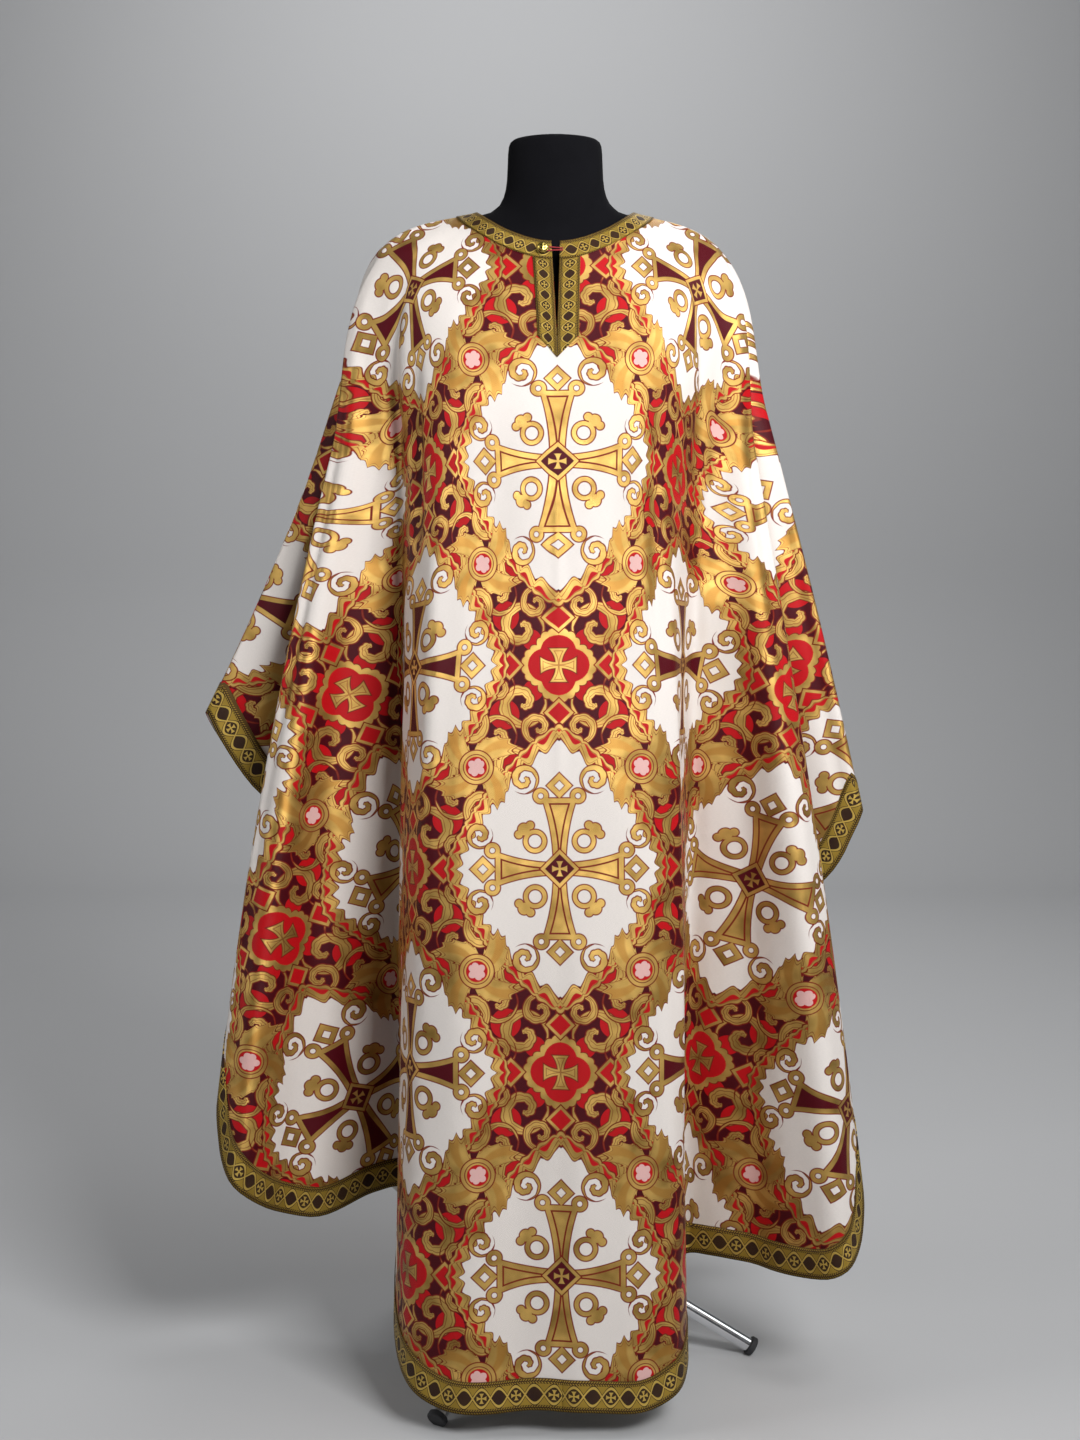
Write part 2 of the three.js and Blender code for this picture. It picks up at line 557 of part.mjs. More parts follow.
function cylinderBetween(from, to, radius, sides) {
  const axis = to.clone().sub(from);
  const geometry = new THREE.CylinderGeometry(radius, radius, axis.length(), sides);
  geometry.rotateX(Math.PI / 2);
  geometry.applyQuaternion(new THREE.Quaternion().setFromUnitVectors(up, axis.normalize()));
  geometry.translate(...from.clone().add(to).multiplyScalar(0.5).toArray());
  return geometry;
}

function toManifold(geometry) {
  const points = [];
  const known = new Map();
  const position = geometry.getAttribute('position');
  const corner = (index) => {
    const point = new THREE.Vector3().fromBufferAttribute(position, index);
    const key = placeKey(point);
    if (!known.has(key)) known.set(key, points.push(point) - 1);
    return known.get(key);
  };
  const source = geometry.index ? Array.from(geometry.index.array) : [...Array(position.count).keys()];
  const corners = source.map(corner);
  const faces = [];
  for (let i = 0; i < corners.length; i += 3) {
    const face = corners.slice(i, i + 3);
    if (new Set(face).size === 3) faces.push(...face);
  }
  return new wasm.Manifold(new wasm.Mesh({
    numProp: 3,
    vertProperties: new Float32Array(points.flatMap((point) => point.toArray())),
    triVerts: new Uint32Array(faces),
  }));
}

function fromManifold(solid) {
  const mesh = solid.getMesh();
  const geometry = new THREE.BufferGeometry();
  geometry.setAttribute('position', new THREE.BufferAttribute(mesh.vertProperties, 3));
  geometry.setIndex(new THREE.BufferAttribute(mesh.triVerts, 1));
  geometry.computeVertexNormals();
  return geometry;
}

function legLine(index) {
  const angle = radians(LEG.first + (index * 360) / LEG.count);
  const outwards = new THREE.Vector3(Math.sin(angle), -Math.cos(angle), 0);
  const slope = Math.atan2(LEG.rise, LEG.reach);
  const axis = outwards.clone().multiplyScalar(Math.cos(slope)).addScaledVector(up, -Math.sin(slope));
  const end = outwards.clone().multiplyScalar(LEG.reach);
  end.z = FOOT.radius * Math.cos(slope) - FOOT.sunk;
  return { end, axis };
}

function buildLeg(index) {
  const { end, axis } = legLine(index);
  const start = end.clone().addScaledVector(axis, -(LEG.reach / Math.hypot(axis.x, axis.y)));
  const tip = end.clone().addScaledVector(axis, -FOOT.length - SEAT);
  const leg = toManifold(cylinderBetween(start, tip, LEG.radius, LEG.sides));
  const hollow = HUB.radius + SEAT;
  const clearance = new THREE.CylinderGeometry(hollow, hollow, CUTTER.height, HUB.sides);
  clearance.rotateX(Math.PI / 2);
  clearance.translate(0, 0, HUB.bottom);
  return fromManifold(leg.subtract(toManifold(clearance)));
}

function buildFoot(index) {
  const { end, axis } = legLine(index);
  const { radius, length, bevel } = FOOT;
  const profile = [
    [0, 0], [radius - bevel, 0], [radius, bevel], [radius, length - bevel],
    [radius - bevel, length], [0, length],
  ];
  const cap = turned(profile, FOOT.sides);
  cap.applyQuaternion(new THREE.Quaternion().setFromUnitVectors(up, axis.clone().negate()));
  cap.translate(...end.toArray());
  const floor = new THREE.BoxGeometry(CUTTER.floor, CUTTER.floor, CUTTER.height);
  floor.translate(0, 0, -CUTTER.height / 2);
  return fromManifold(toManifold(cap).subtract(toManifold(floor)));
}

function buildPole() {
  const top = TORSO.at(-1).height - SEAT;
  return cylinderBetween(
    new THREE.Vector3(0, 0, HUB.top + SEAT), new THREE.Vector3(0, 0, top), POLE.radius, POLE.sides);
}

function buildHub() {
  const { radius, bottom, top, bevel } = HUB;
  const profile = [
    [0, bottom], [radius - bevel, bottom], [radius, bottom + bevel],
    [radius, top - bevel], [radius - bevel, top], [0, top],
  ];
  return turned(profile, HUB.sides);
}

// ---- the scene graph ----------------------------------------------------------------------------------

const group = new THREE.Group();

function add(name, geometry, color, roughness, metalness) {
  const material = new THREE.MeshStandardMaterial({ color, roughness, metalness });
  const mesh = new THREE.Mesh(geometry, material);
  mesh.name = name;
  group.add(mesh);
  return mesh;
}

add('front', buildFront(), COLOURS.brocade, 0.5, 0);
add('back', buildBack(), COLOURS.brocade, 0.5, 0);
add('neck_band', buildNeckBand(), COLOURS.galloon, 0.45, 0.3);
add('placket_left', buildPlacket(-1), COLOURS.galloon, 0.45, 0.3);
add('placket_right', buildPlacket(1), COLOURS.galloon, 0.45, 0.3);
add('hem_band', buildHemBand(), COLOURS.galloon, 0.45, 0.3);

const seat = neckGalloonSpot(BUTTON.x);
const opposite = neckGalloonSpot(LOOP.end);
const across = opposite.spot.clone().sub(seat.spot).normalize();
const facing = seat.out.clone().add(opposite.out);
facing.addScaledVector(across, -facing.dot(across)).normalize();
const buttonMesh = add('button', buildButton(), COLOURS.gilt, 0.3, 1);
buttonMesh.quaternion.setFromUnitVectors(up, facing);
buttonMesh.position.copy(seat.spot).addScaledVector(facing, SEAT);
add('button_loop', buildLoop(seat.spot, facing, across), COLOURS.cord, 0.7, 0);

add('form_body', buildForm(), COLOURS.formCloth, 0.9, 0);
add('stand_pole', buildPole(), COLOURS.chrome, 0.12, 1);
add('stand_hub', buildHub(), COLOURS.chrome, 0.2, 1);
for (let i = 0; i < LEG.count; i += 1) {
  add(`leg_${i + 1}`, buildLeg(i), COLOURS.chrome, 0.12, 1);
  add(`foot_${i + 1}`, buildFoot(i), COLOURS.rubber, 0.8, 0);
}

const box = new THREE.Box3().setFromObject(group);
const middle = box.getCenter(new THREE.Vector3());
group.position.set(-middle.x, -middle.y, -box.min.z);

export default group;
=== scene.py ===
import math
from collections import namedtuple
from functools import reduce

import bmesh
import bpy
import numpy as np
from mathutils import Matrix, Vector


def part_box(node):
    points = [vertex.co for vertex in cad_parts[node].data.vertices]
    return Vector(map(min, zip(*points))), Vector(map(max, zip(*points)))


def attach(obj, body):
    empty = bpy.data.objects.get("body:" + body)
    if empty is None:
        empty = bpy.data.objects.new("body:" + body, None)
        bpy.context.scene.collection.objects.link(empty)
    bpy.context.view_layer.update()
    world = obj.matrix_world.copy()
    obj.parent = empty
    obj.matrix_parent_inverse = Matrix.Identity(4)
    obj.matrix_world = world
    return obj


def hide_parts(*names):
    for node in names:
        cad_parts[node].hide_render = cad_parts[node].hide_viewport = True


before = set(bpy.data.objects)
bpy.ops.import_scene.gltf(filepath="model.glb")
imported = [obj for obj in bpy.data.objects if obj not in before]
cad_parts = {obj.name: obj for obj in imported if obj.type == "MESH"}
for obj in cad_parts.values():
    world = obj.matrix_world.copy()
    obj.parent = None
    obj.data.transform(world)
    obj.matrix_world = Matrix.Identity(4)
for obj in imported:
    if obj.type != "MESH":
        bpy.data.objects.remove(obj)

bl_info = {
    "name": "Phelonion on a dress form",
    "version": (1, 0, 0),
    "blender": (4, 5, 0),
    "location": "View3D > Sidebar > Phelonion",
    "description": "Brocade vestment with gold galloon, its dress form, stand and studio",
    "category": "Add Mesh",
}

# ---- sizes in millimetres; the stand's pole is at x = y = 0

MM = 0.001
POLE_LOW, POLE_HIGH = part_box("stand_pole")
POLE_AT = np.array([(POLE_LOW.x + POLE_HIGH.x) / 2, (POLE_LOW.y + POLE_HIGH.y) / 2, 0.0])

SEAT = 0.3                 # between a band and the cloth under it
NECK_GALLOON_WIDTH = 27.0
PLACKET_GALLOON_WIDTH = 26.0
HEM_GALLOON_WIDTH = 41.0
SLIT_HALF_GAP = 5.5        # at the neckline
SLIT_FOOT = 0.1154         # share of a rib where the slit closes
PLACKET_TIP = 0.1377       # and where the placket ends in a point
SHOULDER_SHARE = 0.16      # share of a rib from neckline to yoke
KNEE_SHARE = 0.28          # the bend below the yoke takes this share of the fall
KNEE_LIMIT = 260.0         # and no more than this
NECK_LIFT = 0.18           # how much the cloth rises as it leaves the neckline
SHOULDER_CURL = 1.05       # fullness of the curve over the shoulder
SHOULDER_ARC = 1.06        # arc over chord on the shoulder
LEAST_SLANT = 0.5          # least sine of the angle between fold line and hem
NECK_X, NECK_Y = 4.0, -6.0
NECK_HALF_WIDTH, NECK_HALF_DEPTH = 104.0, 86.0
NECK_FRONT, NECK_SIDE, NECK_BACK = 1512.0, 1559.0, 1577.0

# One row for each fold line of the cloth, round the wearer from the centre front. neck is the
# angle round the neckline, yoke where the cloth leaves the shoulders, hem its lower end and
# belly how far the fall bows outwards.
Rib = namedtuple("Rib", "name neck yoke hem belly")
RIBS = [Rib(*row) for row in (
    ("centre front", 0, (6, -146, 1335), (12, -270, 36), 0),
    ("left placket line", -17.3, (-17, -147, 1336), (-16, -272, 37), 0),
    ("front left", -36, (-76, -145, 1352), (-78, -273, 34), 0),
    ("front left edge", -52, (-122, -134, 1382), (-140, -268, 38), 0),
    ("left turn", -62, (-150, -116, 1410), (-186, -238, 60), 0),
    ("left wall", -68, (-172, -98, 1432), (-208, -150, 100), 0),
    ("left wall inside", -73, (-187, -82, 1450), (-205, -50, 180), 0),
    ("left valley", -76, (-197, -71, 1462), (-205, 20, 225), 0),
    ("left lobe inside", -79, (-205, -62, 1472), (-248, 0, 228), 0),
    ("left lobe face", -82, (-212, -53, 1481), (-325, -75, 218), 10),
    ("left lobe front", -84, (-218, -45, 1488), (-405, -138, 270), 18),
    ("left lobe ridge", -86, (-222, -38, 1494), (-440, -122, 335), 22),
    ("left lobe side", -88, (-225, -31, 1499), (-428, -88, 440), 22),
    ("left fold", -89, (-227, -25, 1503), (-305, 5, 575), 8),
    ("left arm inside", -90, (-228, -18, 1507), (-302, 42, 690), 0),
    ("left arm face", -92, (-229, -11, 1510), (-408, 4, 796), -10),
    ("left arm", -94, (-230, 0, 1512), (-472, 10, 897), -18),
    ("left arm back", -98, (-229, 12, 1510), (-440, 75, 820), -10),
    ("back left fold", -102, (-227, 26, 1504), (-335, 88, 700), 0),
    ("back left hollow", -105, (-224, 36, 1498), (-325, 112, 560), 8),
    ("back left side", -108, (-219, 47, 1490), (-420, 155, 420), 18),
    ("back left ridge", -112, (-212, 58, 1482), (-415, 222, 330), 18),
    ("back left face", -117, (-200, 72, 1470), (-320, 195, 235), 8),
    ("back left valley", -124, (-182, 90, 1453), (-225, 120, 190), 0),
    ("back left wall", -132, (-158, 107, 1432), (-200, 215, 100), 0),
    ("back left edge", -142, (-122, 122, 1408), (-160, 268, 45), 0),
    ("back left", -158, (-66, 132, 1385), (-80, 262, 30), 0),
    ("centre back", -180, (0, 136, 1375), (5, 285, 28), 0),
    ("back right", -202, (66, 132, 1385), (88, 262, 30), 0),
    ("back right edge", -218, (122, 122, 1408), (165, 262, 45), 0),
    ("back right wall", -228, (158, 107, 1432), (195, 200, 100), 0),
    ("back right valley", -236, (182, 90, 1453), (215, 110, 180), 0),
    ("back right face", -243, (200, 72, 1470), (300, 190, 215), 8),
    ("back right ridge", -248, (212, 58, 1482), (398, 218, 290), 16),
    ("back right side", -252, (219, 47, 1490), (395, 152, 380), 16),
    ("back right hollow", -255, (222, 36, 1498), (300, 118, 465), 8),
    ("back right fold", -258, (224, 26, 1503), (312, 92, 590), 0),
    ("right arm back", -262, (225, 12, 1508), (395, 80, 690), 5),
    ("right arm", -266, (225, 0, 1510), (425, 12, 762), 8),
    ("right arm face", -268, (224, -11, 1509), (385, 2, 680), 4),
    ("right arm inside", -270, (223, -18, 1506), (290, 42, 570), 0),
    ("right fold", -271, (222, -25, 1503), (288, 5, 450), 4),
    ("right lobe side", -272, (220, -31, 1499), (398, -85, 325), 12),
    ("right lobe ridge", -274, (217, -38, 1494), (412, -122, 215), 12),
    ("right lobe front", -276, (213, -45, 1488), (372, -150, 165), 12),
    ("right lobe face", -279, (207, -54, 1480), (290, -112, 158), 6),
    ("right lobe inside", -282, (200, -63, 1471), (222, -62, 160), 0),
    ("right valley", -286, (190, -75, 1459), (178, -40, 150), 0),
    ("right wall", -293, (170, -97, 1434), (172, -110, 105), 0),
    ("right wall turn", -299, (150, -114, 1412), (176, -190, 72), 0),
    ("right turn", -309, (124, -132, 1384), (158, -250, 48), 0),
    ("front right edge", -323, (80, -145, 1354), (112, -272, 34), 0),
    ("right placket line", -342.1, (33, -147, 1337), (38, -271, 36), 0),
)]
RIB_NUMBER = {rib.name: number for number, rib in enumerate(RIBS)}
LOOP_END = len(RIBS)
LEFT_SEAM = RIB_NUMBER["left arm"]
RIGHT_SEAM = RIB_NUMBER["right arm"]
CENTRE_BACK = RIB_NUMBER["centre back"]

# Soft creases pressed by hand into the cloth. rib is the fold line's number, drift how many ribs
# it has moved by its end, first and last its ends as shares of the rib, depth outwards (minus
# is a trough) and width its half width.
Crease = namedtuple("Crease", "rib drift first last depth width")
CREASES = [Crease(*row) for row in (
    (0.0, 0.0, 0.125, 0.62, 2.4, 9),  # pressed line down the centre front
    (1.7, 0.5, 0.13, 0.46, -6.5, 30), (51.2, -0.4, 0.13, 0.52, -7.0, 32),
    (2.7, -0.3, 0.40, 1.0, 6.5, 34), (51.9, 0.2, 0.50, 1.0, 6.0, 30),
    (1.2, 0.2, 0.56, 1.0, -5.5, 32), (50.6, -0.1, 0.62, 1.0, -5.0, 26),
    (3.6, 0.1, 0.18, 0.74, 7.5, 20), (4.6, 0.3, 0.15, 0.40, -9.0, 17),
    (5.6, 0.2, 0.40, 0.92, 6.0, 16), (6.3, 0.5, 0.12, 0.34, -8.0, 14),
    (8.0, 0.3, 0.18, 0.52, 7.0, 18), (9.1, 0.2, 0.30, 1.0, -13.0, 34),
    (10.3, -0.2, 0.42, 1.0, 8.0, 26), (10.9, 0.1, 0.26, 0.66, -6.0, 16),
    (12.4, 0.1, 0.28, 0.60, -6.0, 16), (15.1, 0.2, 0.34, 0.90, 6.5, 20),
    (15.7, 0.1, 0.40, 1.0, -5.5, 16), (50.0, -0.2, 0.17, 0.46, -8.5, 17),
    (49.3, -0.1, 0.30, 0.90, 6.5, 16), (47.4, -0.4, 0.12, 0.34, -8.0, 14),
    (46.4, -0.3, 0.18, 0.50, 7.0, 18), (45.0, 0.3, 0.32, 1.0, -12.0, 32),
    (44.0, -0.1, 0.46, 1.0, 7.5, 26), (43.3, 0.1, 0.24, 0.62, -5.5, 16),
    (41.4, 0.1, 0.30, 0.66, -6.0, 16), (39.2, 0.1, 0.34, 0.86, 6.0, 20),
    (38.6, 0.0, 0.42, 1.0, -5.0, 16), (17.4, 0.1, 0.30, 0.80, -7.0, 20),
    (18.6, 0.2, 0.24, 0.60, 6.0, 18), (20.6, 0.2, 0.32, 0.92, 9.0, 24),
    (21.9, -0.2, 0.36, 1.0, -11.0, 30), (24.2, 0.4, 0.15, 0.42, -9.0, 18),
    (25.2, 0.2, 0.22, 0.80, 7.0, 22), (26.2, 0.3, 0.17, 0.66, -7.0, 32),
    (26.7, -0.2, 0.44, 1.0, 6.5, 34), (27.6, -0.2, 0.40, 1.0, -6.0, 30),
    (28.4, -0.3, 0.16, 0.58, 6.5, 28), (29.2, -0.2, 0.30, 0.90, 7.0, 22),
    (30.1, -0.4, 0.14, 0.44, -8.5, 18), (32.2, 0.2, 0.38, 1.0, -10.5, 28),
    (34.3, -0.2, 0.30, 0.84, 8.0, 22), (36.5, 0.1, 0.30, 0.82, -6.5, 20),
)]
CREASE_FADE = 0.4   # share of a crease's length over which each end fades
CREASE_REACH = 3.0  # fold lines on either side that a crease may touch

# Where the flat cut turns by more than the folds show, in degrees, between two ribs: first on
# the shoulders, then in the fall, where cloth is tucked into the hollows beside the front panel.
# tuck is the share by which the strips are narrower there.
Turn = namedtuple("Turn", "first last shoulder fall tuck")
HIDDEN_TURNS = [Turn(*row) for row in (
    (2, 8, 32.0, 0.0, 0.3), (4, 8, 0.0, 13.0, 0.32), (11, 14.5, 0.0, 30.0, 0.0),
    (51, 45, 32.0, 0.0, 0.3), (49, 46, 0.0, 9.0, 0.24), (43, 39.5, 0.0, 26.0, 0.0),
    (25, 19, 28.0, 0.0, 0.3), (24, 21, 0.0, 10.0, 0.2), (19.5, 17, 0.0, 16.0, 0.0),
    (29, 35, 28.0, 0.0, 0.3), (30, 33, 0.0, 10.0, 0.2), (34.5, 37, 0.0, 16.0, 0.0),
)]
FALL_LEVEL = 0.30  # the share of a rib from which the fall is unrolled
JOIN_FROM, JOIN_TO = 0.11, 0.46  # shares of a rib between which the two flat cuts are joined


# ---- the cloth's surface

def measure(vectors):
    """Each vector's length."""
    return np.linalg.norm(vectors, axis=-1)


def unit(vectors):
    """Each vector divided by its own length."""
    return vectors / np.maximum(measure(vectors), 1e-9)[..., None]


def running(steps):
    """Sums of the steps down the first axis, from zero."""
    return np.concatenate([0.0 * steps[:1], np.cumsum(steps, axis=0)])


def smooth(values, low, high):
    """Three squares less two cubes of the share between low and high, held to 0 and 1."""
    share = np.clip((values - low) / (high - low), 0.0, 1.0)
    return share * share * (3.0 - 2.0 * share)


def neckline(degrees):
    """An ellipse from above; its height runs with the squared cosine from the sides."""
    turn = np.radians(degrees)
    front = np.maximum(np.cos(turn), 0.0) ** 2
    back = np.maximum(-np.cos(turn), 0.0) ** 2
    height = NECK_SIDE + (NECK_FRONT - NECK_SIDE) * front + (NECK_BACK - NECK_SIDE) * back
    return np.stack([
        NECK_X + NECK_HALF_WIDTH * np.sin(turn), NECK_Y - NECK_HALF_DEPTH * np.cos(turn), height,
    ], axis=-1)


def round_the_loop(rows, rib):
    """A closed Catmull-Rom curve through the rows, read at the rib numbers."""
    count = len(rows)
    start = np.floor(rib).astype(int)
    t = (rib - start)[..., None]
    before, here, ahead, beyond = (rows[(start + step) % count] for step in (-1, 0, 1, 2))
    return 0.5 * (
        2.0 * here + (ahead - before) * t
        + (2.0 * before - 5.0 * here + 4.0 * ahead - beyond) * t ** 2
        + (3.0 * here - before - 3.0 * ahead + beyond) * t ** 3)


def hermite(start, start_slope, end, end_slope, t):
    """A cubic from start to end that leaves and arrives along the two slopes."""
    return (
        (2 * t ** 3 - 3 * t ** 2 + 1) * start + (t ** 3 - 2 * t ** 2 + t) * start_slope
        + (3 * t ** 2 - 2 * t ** 3) * end + (t ** 3 - t ** 2) * end_slope)


NECK_ROWS = neckline(np.array([rib.neck for rib in RIBS], float))
YOKE_ROWS = np.array([rib.yoke for rib in RIBS], float)
HEM_ROWS = np.array([rib.hem for rib in RIBS], float)
BELLY_ROWS = np.array([[rib.belly] for rib in RIBS], float)


def smooth_cloth(rib, v):
    """Neckline to yoke is one cubic, the knee below it another, and the fall is the straight line
    from yoke to hem plus the belly times 4t(1 - t). rib counts round the loop, v runs 0 to 1."""
    neck, yoke = round_the_loop(NECK_ROWS, rib), round_the_loop(YOKE_ROWS, rib)
    hem, belly = round_the_loop(HEM_ROWS, rib), round_the_loop(BELLY_ROWS, rib)
    drop, chord = hem - yoke, yoke - neck
    length = measure(drop)[..., None]
    reach = measure(chord)[..., None] * SHOULDER_CURL
    fall, slope = unit(drop), unit(chord)
    bend = unit(fall + slope)
    leave = unit(slope + np.array([0.0, 0.0, NECK_LIFT]))
    v = np.asarray(v)[..., None]
    shoulder = hermite(neck, leave * reach, yoke, bend * reach, np.clip(v / SHOULDER_SHARE, 0, 1))
    t = np.clip((v - SHOULDER_SHARE) / (1.0 - SHOULDER_SHARE), 0.0, 1.0)
    knee = np.minimum(KNEE_SHARE * length, KNEE_LIMIT)
    in_knee = np.clip(t * length / knee, 0.0, 1.0)
    curved = hermite(yoke, bend * knee, yoke + fall * knee, fall * knee, in_knee)
    below = np.where(t * length < knee, curved, yoke + drop * t)
    outwards = unit((yoke + hem) * np.array([1.0, 1.0, 0.0]))
    below = below + outwards * belly * 4.0 * t * (1.0 - t)
    return np.where(v < SHOULDER_SHARE, shoulder, below)


RIB_STEP, V_STEP = 0.12, 0.004  # for the cloth's directions
HEM_STEP = 0.01                 # and for the hem's


def outward(rib, v):
    """The cross product of the direction round the loop and the direction down the rib."""
    along = smooth_cloth(rib + RIB_STEP, v) - smooth_cloth(rib - RIB_STEP, v)
    high, low = np.maximum(v - V_STEP, 0.0), np.minimum(v + V_STEP, 1.0)
    return unit(np.cross(along, smooth_cloth(rib, low) - smooth_cloth(rib, high)))


def crease_height(rib, v):
    """The sum over the creases of depth times a bell curve of the distance to the crease's line,
    faded in and out towards its ends."""
    here = smooth_cloth(rib, v)
    height = np.zeros(rib.shape)
    for crease in CREASES:
        share = (v - crease.first) / (crease.last - crease.first)
        middle = crease.rib + crease.drift * np.clip(share, 0.0, 1.0)
        away = (rib - middle + LOOP_END / 2) % LOOP_END - LOOP_END / 2
        distance = measure(here - smooth_cloth(middle, v))
        bell = np.exp(-(distance / crease.width) ** 2) * (np.abs(away) < CREASE_REACH)
        ends = smooth(share, 0.0, CREASE_FADE)
        if crease.last < 1.0:
            ends = ends * (1.0 - smooth(share, 1.0 - CREASE_FADE, 1.0))
        height += crease.depth * bell * ends
    return height


def slit_shift(v, side):
    """The slit's edge moves sideways by its half gap, less towards the foot of the slit."""
    return side * SLIT_HALF_GAP * (1.0 - np.minimum(v / SLIT_FOOT, 1.0))


def cloth(rib, v, lift, side):
    """The creased surface in metres, raised outwards by lift. Near the centre front the slit's
    shift fades over one rib; side is -1 on its left and 1 on its right."""
    points = smooth_cloth(rib, v) + outward(rib, v) * (crease_height(rib, v) + lift)[..., None]
    from_centre = np.abs((rib + LOOP_END / 2) % LOOP_END - LOOP_END / 2)
    points[..., 0] += slit_shift(v, side) * np.maximum(1.0 - from_centre, 0.0)
    return points * MM + POLE_AT


def neck_band_edge(rib, width=NECK_GALLOON_WIDTH):
    """The share of the rib that a band of this width covers at the neckline."""
    chord = round_the_loop(YOKE_ROWS, rib) - round_the_loop(NECK_ROWS, rib)
    return SHOULDER_SHARE * width / (measure(chord) * SHOULDER_ARC)


def hem_band_edge(rib):
    """Where the hem band starts: its width is kept at right angles to the hem."""
    drop = round_the_loop(HEM_ROWS, rib) - round_the_loop(YOKE_ROWS, rib)
    along = unit(round_the_loop(HEM_ROWS, rib + HEM_STEP)
                 - round_the_loop(HEM_ROWS, rib - HEM_STEP))
    slant = np.maximum(measure(np.cross(unit(drop), along)), LEAST_SLANT)
    return 1.0 - (1.0 - SHOULDER_SHARE) * HEM_GALLOON_WIDTH / (measure(drop) * slant)


def unrolled(points, upper, lower, side, extra, squeeze):
    """Lays the strips between neighbouring ribs flat beside each other. Each strip's corner angles
    at the upper row give how far the next rib turns; extra turns are added, and squeeze narrows
    the strips. Returns the flat places of the upper row and every rib's flat direction."""
    ribs = unit(points[lower] - points[upper])
    edges = points[upper, 1:] - points[upper, :-1]
    lengths, edges = measure(edges), unit(edges)
    near = np.arccos(np.clip((ribs[:-1] * edges).sum(-1), -1.0, 1.0))
    far = np.arccos(np.clip(-(ribs[1:] * edges).sum(-1), -1.0, 1.0))
    turns = running(near + far - np.pi) + extra
    heading = turns[:-1] + near
    lengths = lengths * (squeeze[1:] + squeeze[:-1]) / 2.0
    steps = np.stack([side * np.sin(heading), -np.cos(heading)], axis=-1) * lengths[:, None]
    return running(steps), np.stack([side * np.sin(turns), -np.cos(turns)], axis=-1)


def flat_cut(rib, v, side):
    """Where every point lies on the flat cut, in millimetres, x from the centre line and y up
    from the yoke. Columns run outwards from the centre. The shoulders and the fall are unrolled
    apart and joined smoothly, from above the yoke to below the fall's first level."""
    points = smooth_cloth(rib, v)
    row_v = v[:, 0]
    yoke_row = int(np.argmin(np.abs(row_v - SHOULDER_SHARE)))
    fall_row = int(np.argmin(np.abs(row_v - FALL_LEVEL)))
    down = running(measure(np.diff(points, axis=0)))
    number = rib[0]
    shoulder_turn, fall_turn, shoulder_width, fall_width = np.zeros((4, len(number)))
    for turn in HIDDEN_TURNS:
        passed = smooth(number, turn.first, turn.last)
        begun = passed[0]
        between = passed * (1.0 - passed) * 4.0
        if begun < 0.5 and between.max() > 0.5:
            shoulder_turn += np.radians(turn.shoulder) * passed
            fall_turn += np.radians(turn.fall) * passed
            if turn.shoulder:
                shoulder_width -= turn.tuck * between
            else:
                fall_width -= turn.tuck * between
    places, ways = unrolled(points, 0, yoke_row, side, shoulder_turn, 1.0 + shoulder_width)
    shoulder = places + down[..., None] * ways
    places, ways = unrolled(points, fall_row, len(row_v) - 1, side, fall_turn, 1.0 + fall_width)
    fall = places + (down - down[fall_row])[..., None] * ways
    shoulder[..., 1] += down[yoke_row, 0]
    fall[..., 1] -= down[fall_row, 0] - down[yoke_row, 0]
    share = smooth(v, JOIN_FROM, JOIN_TO)[..., None]
    return shoulder * (1.0 - share) + fall * share


# ---- meshes

def placed(name, data):
    """A new object for the data, linked to the scene."""
    piece = bpy.data.objects.new(name, data)
    bpy.context.scene.collection.objects.link(piece)
    return piece


def points_of(mesh):
    """The mesh's points, one row each."""
    points = np.empty(len(mesh.vertices) * 3)
    mesh.vertices.foreach_get("co", points)
    return points.reshape(-1, 3)


def store(mesh, name, values):
    """Stores three numbers for each point."""
    layer = mesh.attributes.new(name, "FLOAT_VECTOR", "POINT")
    layer.data.foreach_set("vector", np.ascontiguousarray(values, np.float32).ravel())


def shade_smooth(mesh):
    mesh.polygons.foreach_set("use_smooth", np.ones(len(mesh.polygons), bool))


def make_mesh(name, points, faces, attribute=None, values=None):
    """Puts arrays of points and faces into a smooth-shaded mesh object."""
    mesh = bpy.data.meshes.new(name)
    mesh.from_pydata(points.reshape(-1, 3).tolist(), [], faces.tolist())
    shade_smooth(mesh)
    if attribute:
        store(mesh, attribute, values)
    mesh.update()
    return placed(name, mesh)


def grid_faces(rows, columns, closed=False, first=0):
    """Quads between neighbouring rows and columns of a grid of points."""
    i, j = np.meshgrid(np.arange(rows - 1), np.arange(columns if closed else columns - 1),
                       indexing="ij")
    k = (j + 1) % columns
    corners = [i * columns + j, (i + 1) * columns + j, (i + 1) * columns + k, i * columns + k]
    return np.stack(corners, axis=-1).reshape(-1, 4) + first


def facing_out(faces, rib):
    """Turns the quads round where the rib numbers run up along a row, so that all face out."""
    return faces[:, ::-1] if rib[0, -1] > rib[0, 0] else faces


def give_wall(piece, thickness, inner_slot=0):
    """Solidify inwards, so that the outer skin stays where the formula puts it."""
    wall = piece.modifiers.new("wall", "SOLIDIFY")
    wall.thickness = thickness
    wall.offset = -1.0
    wall.material_offset = inner_slot
    wall.material_offset_rim = 0
    wall.use_quality_normals = True


def finish_piece(piece, materials, node):
    """Gives the piece its materials and its body, and hides the CAD node it stands for."""
    for material in materials:
        piece.data.materials.append(material)
    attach(piece, "root")
    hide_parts(node)


# ---- shader expressions

def maths(operation, swapped=False):
    """A function of varying numbers that adds one maths node."""
    def work(value, *others):
        values = (*others, value) if swapped else (value, *others)
        return value.recipe.math(operation, *values)
    return work


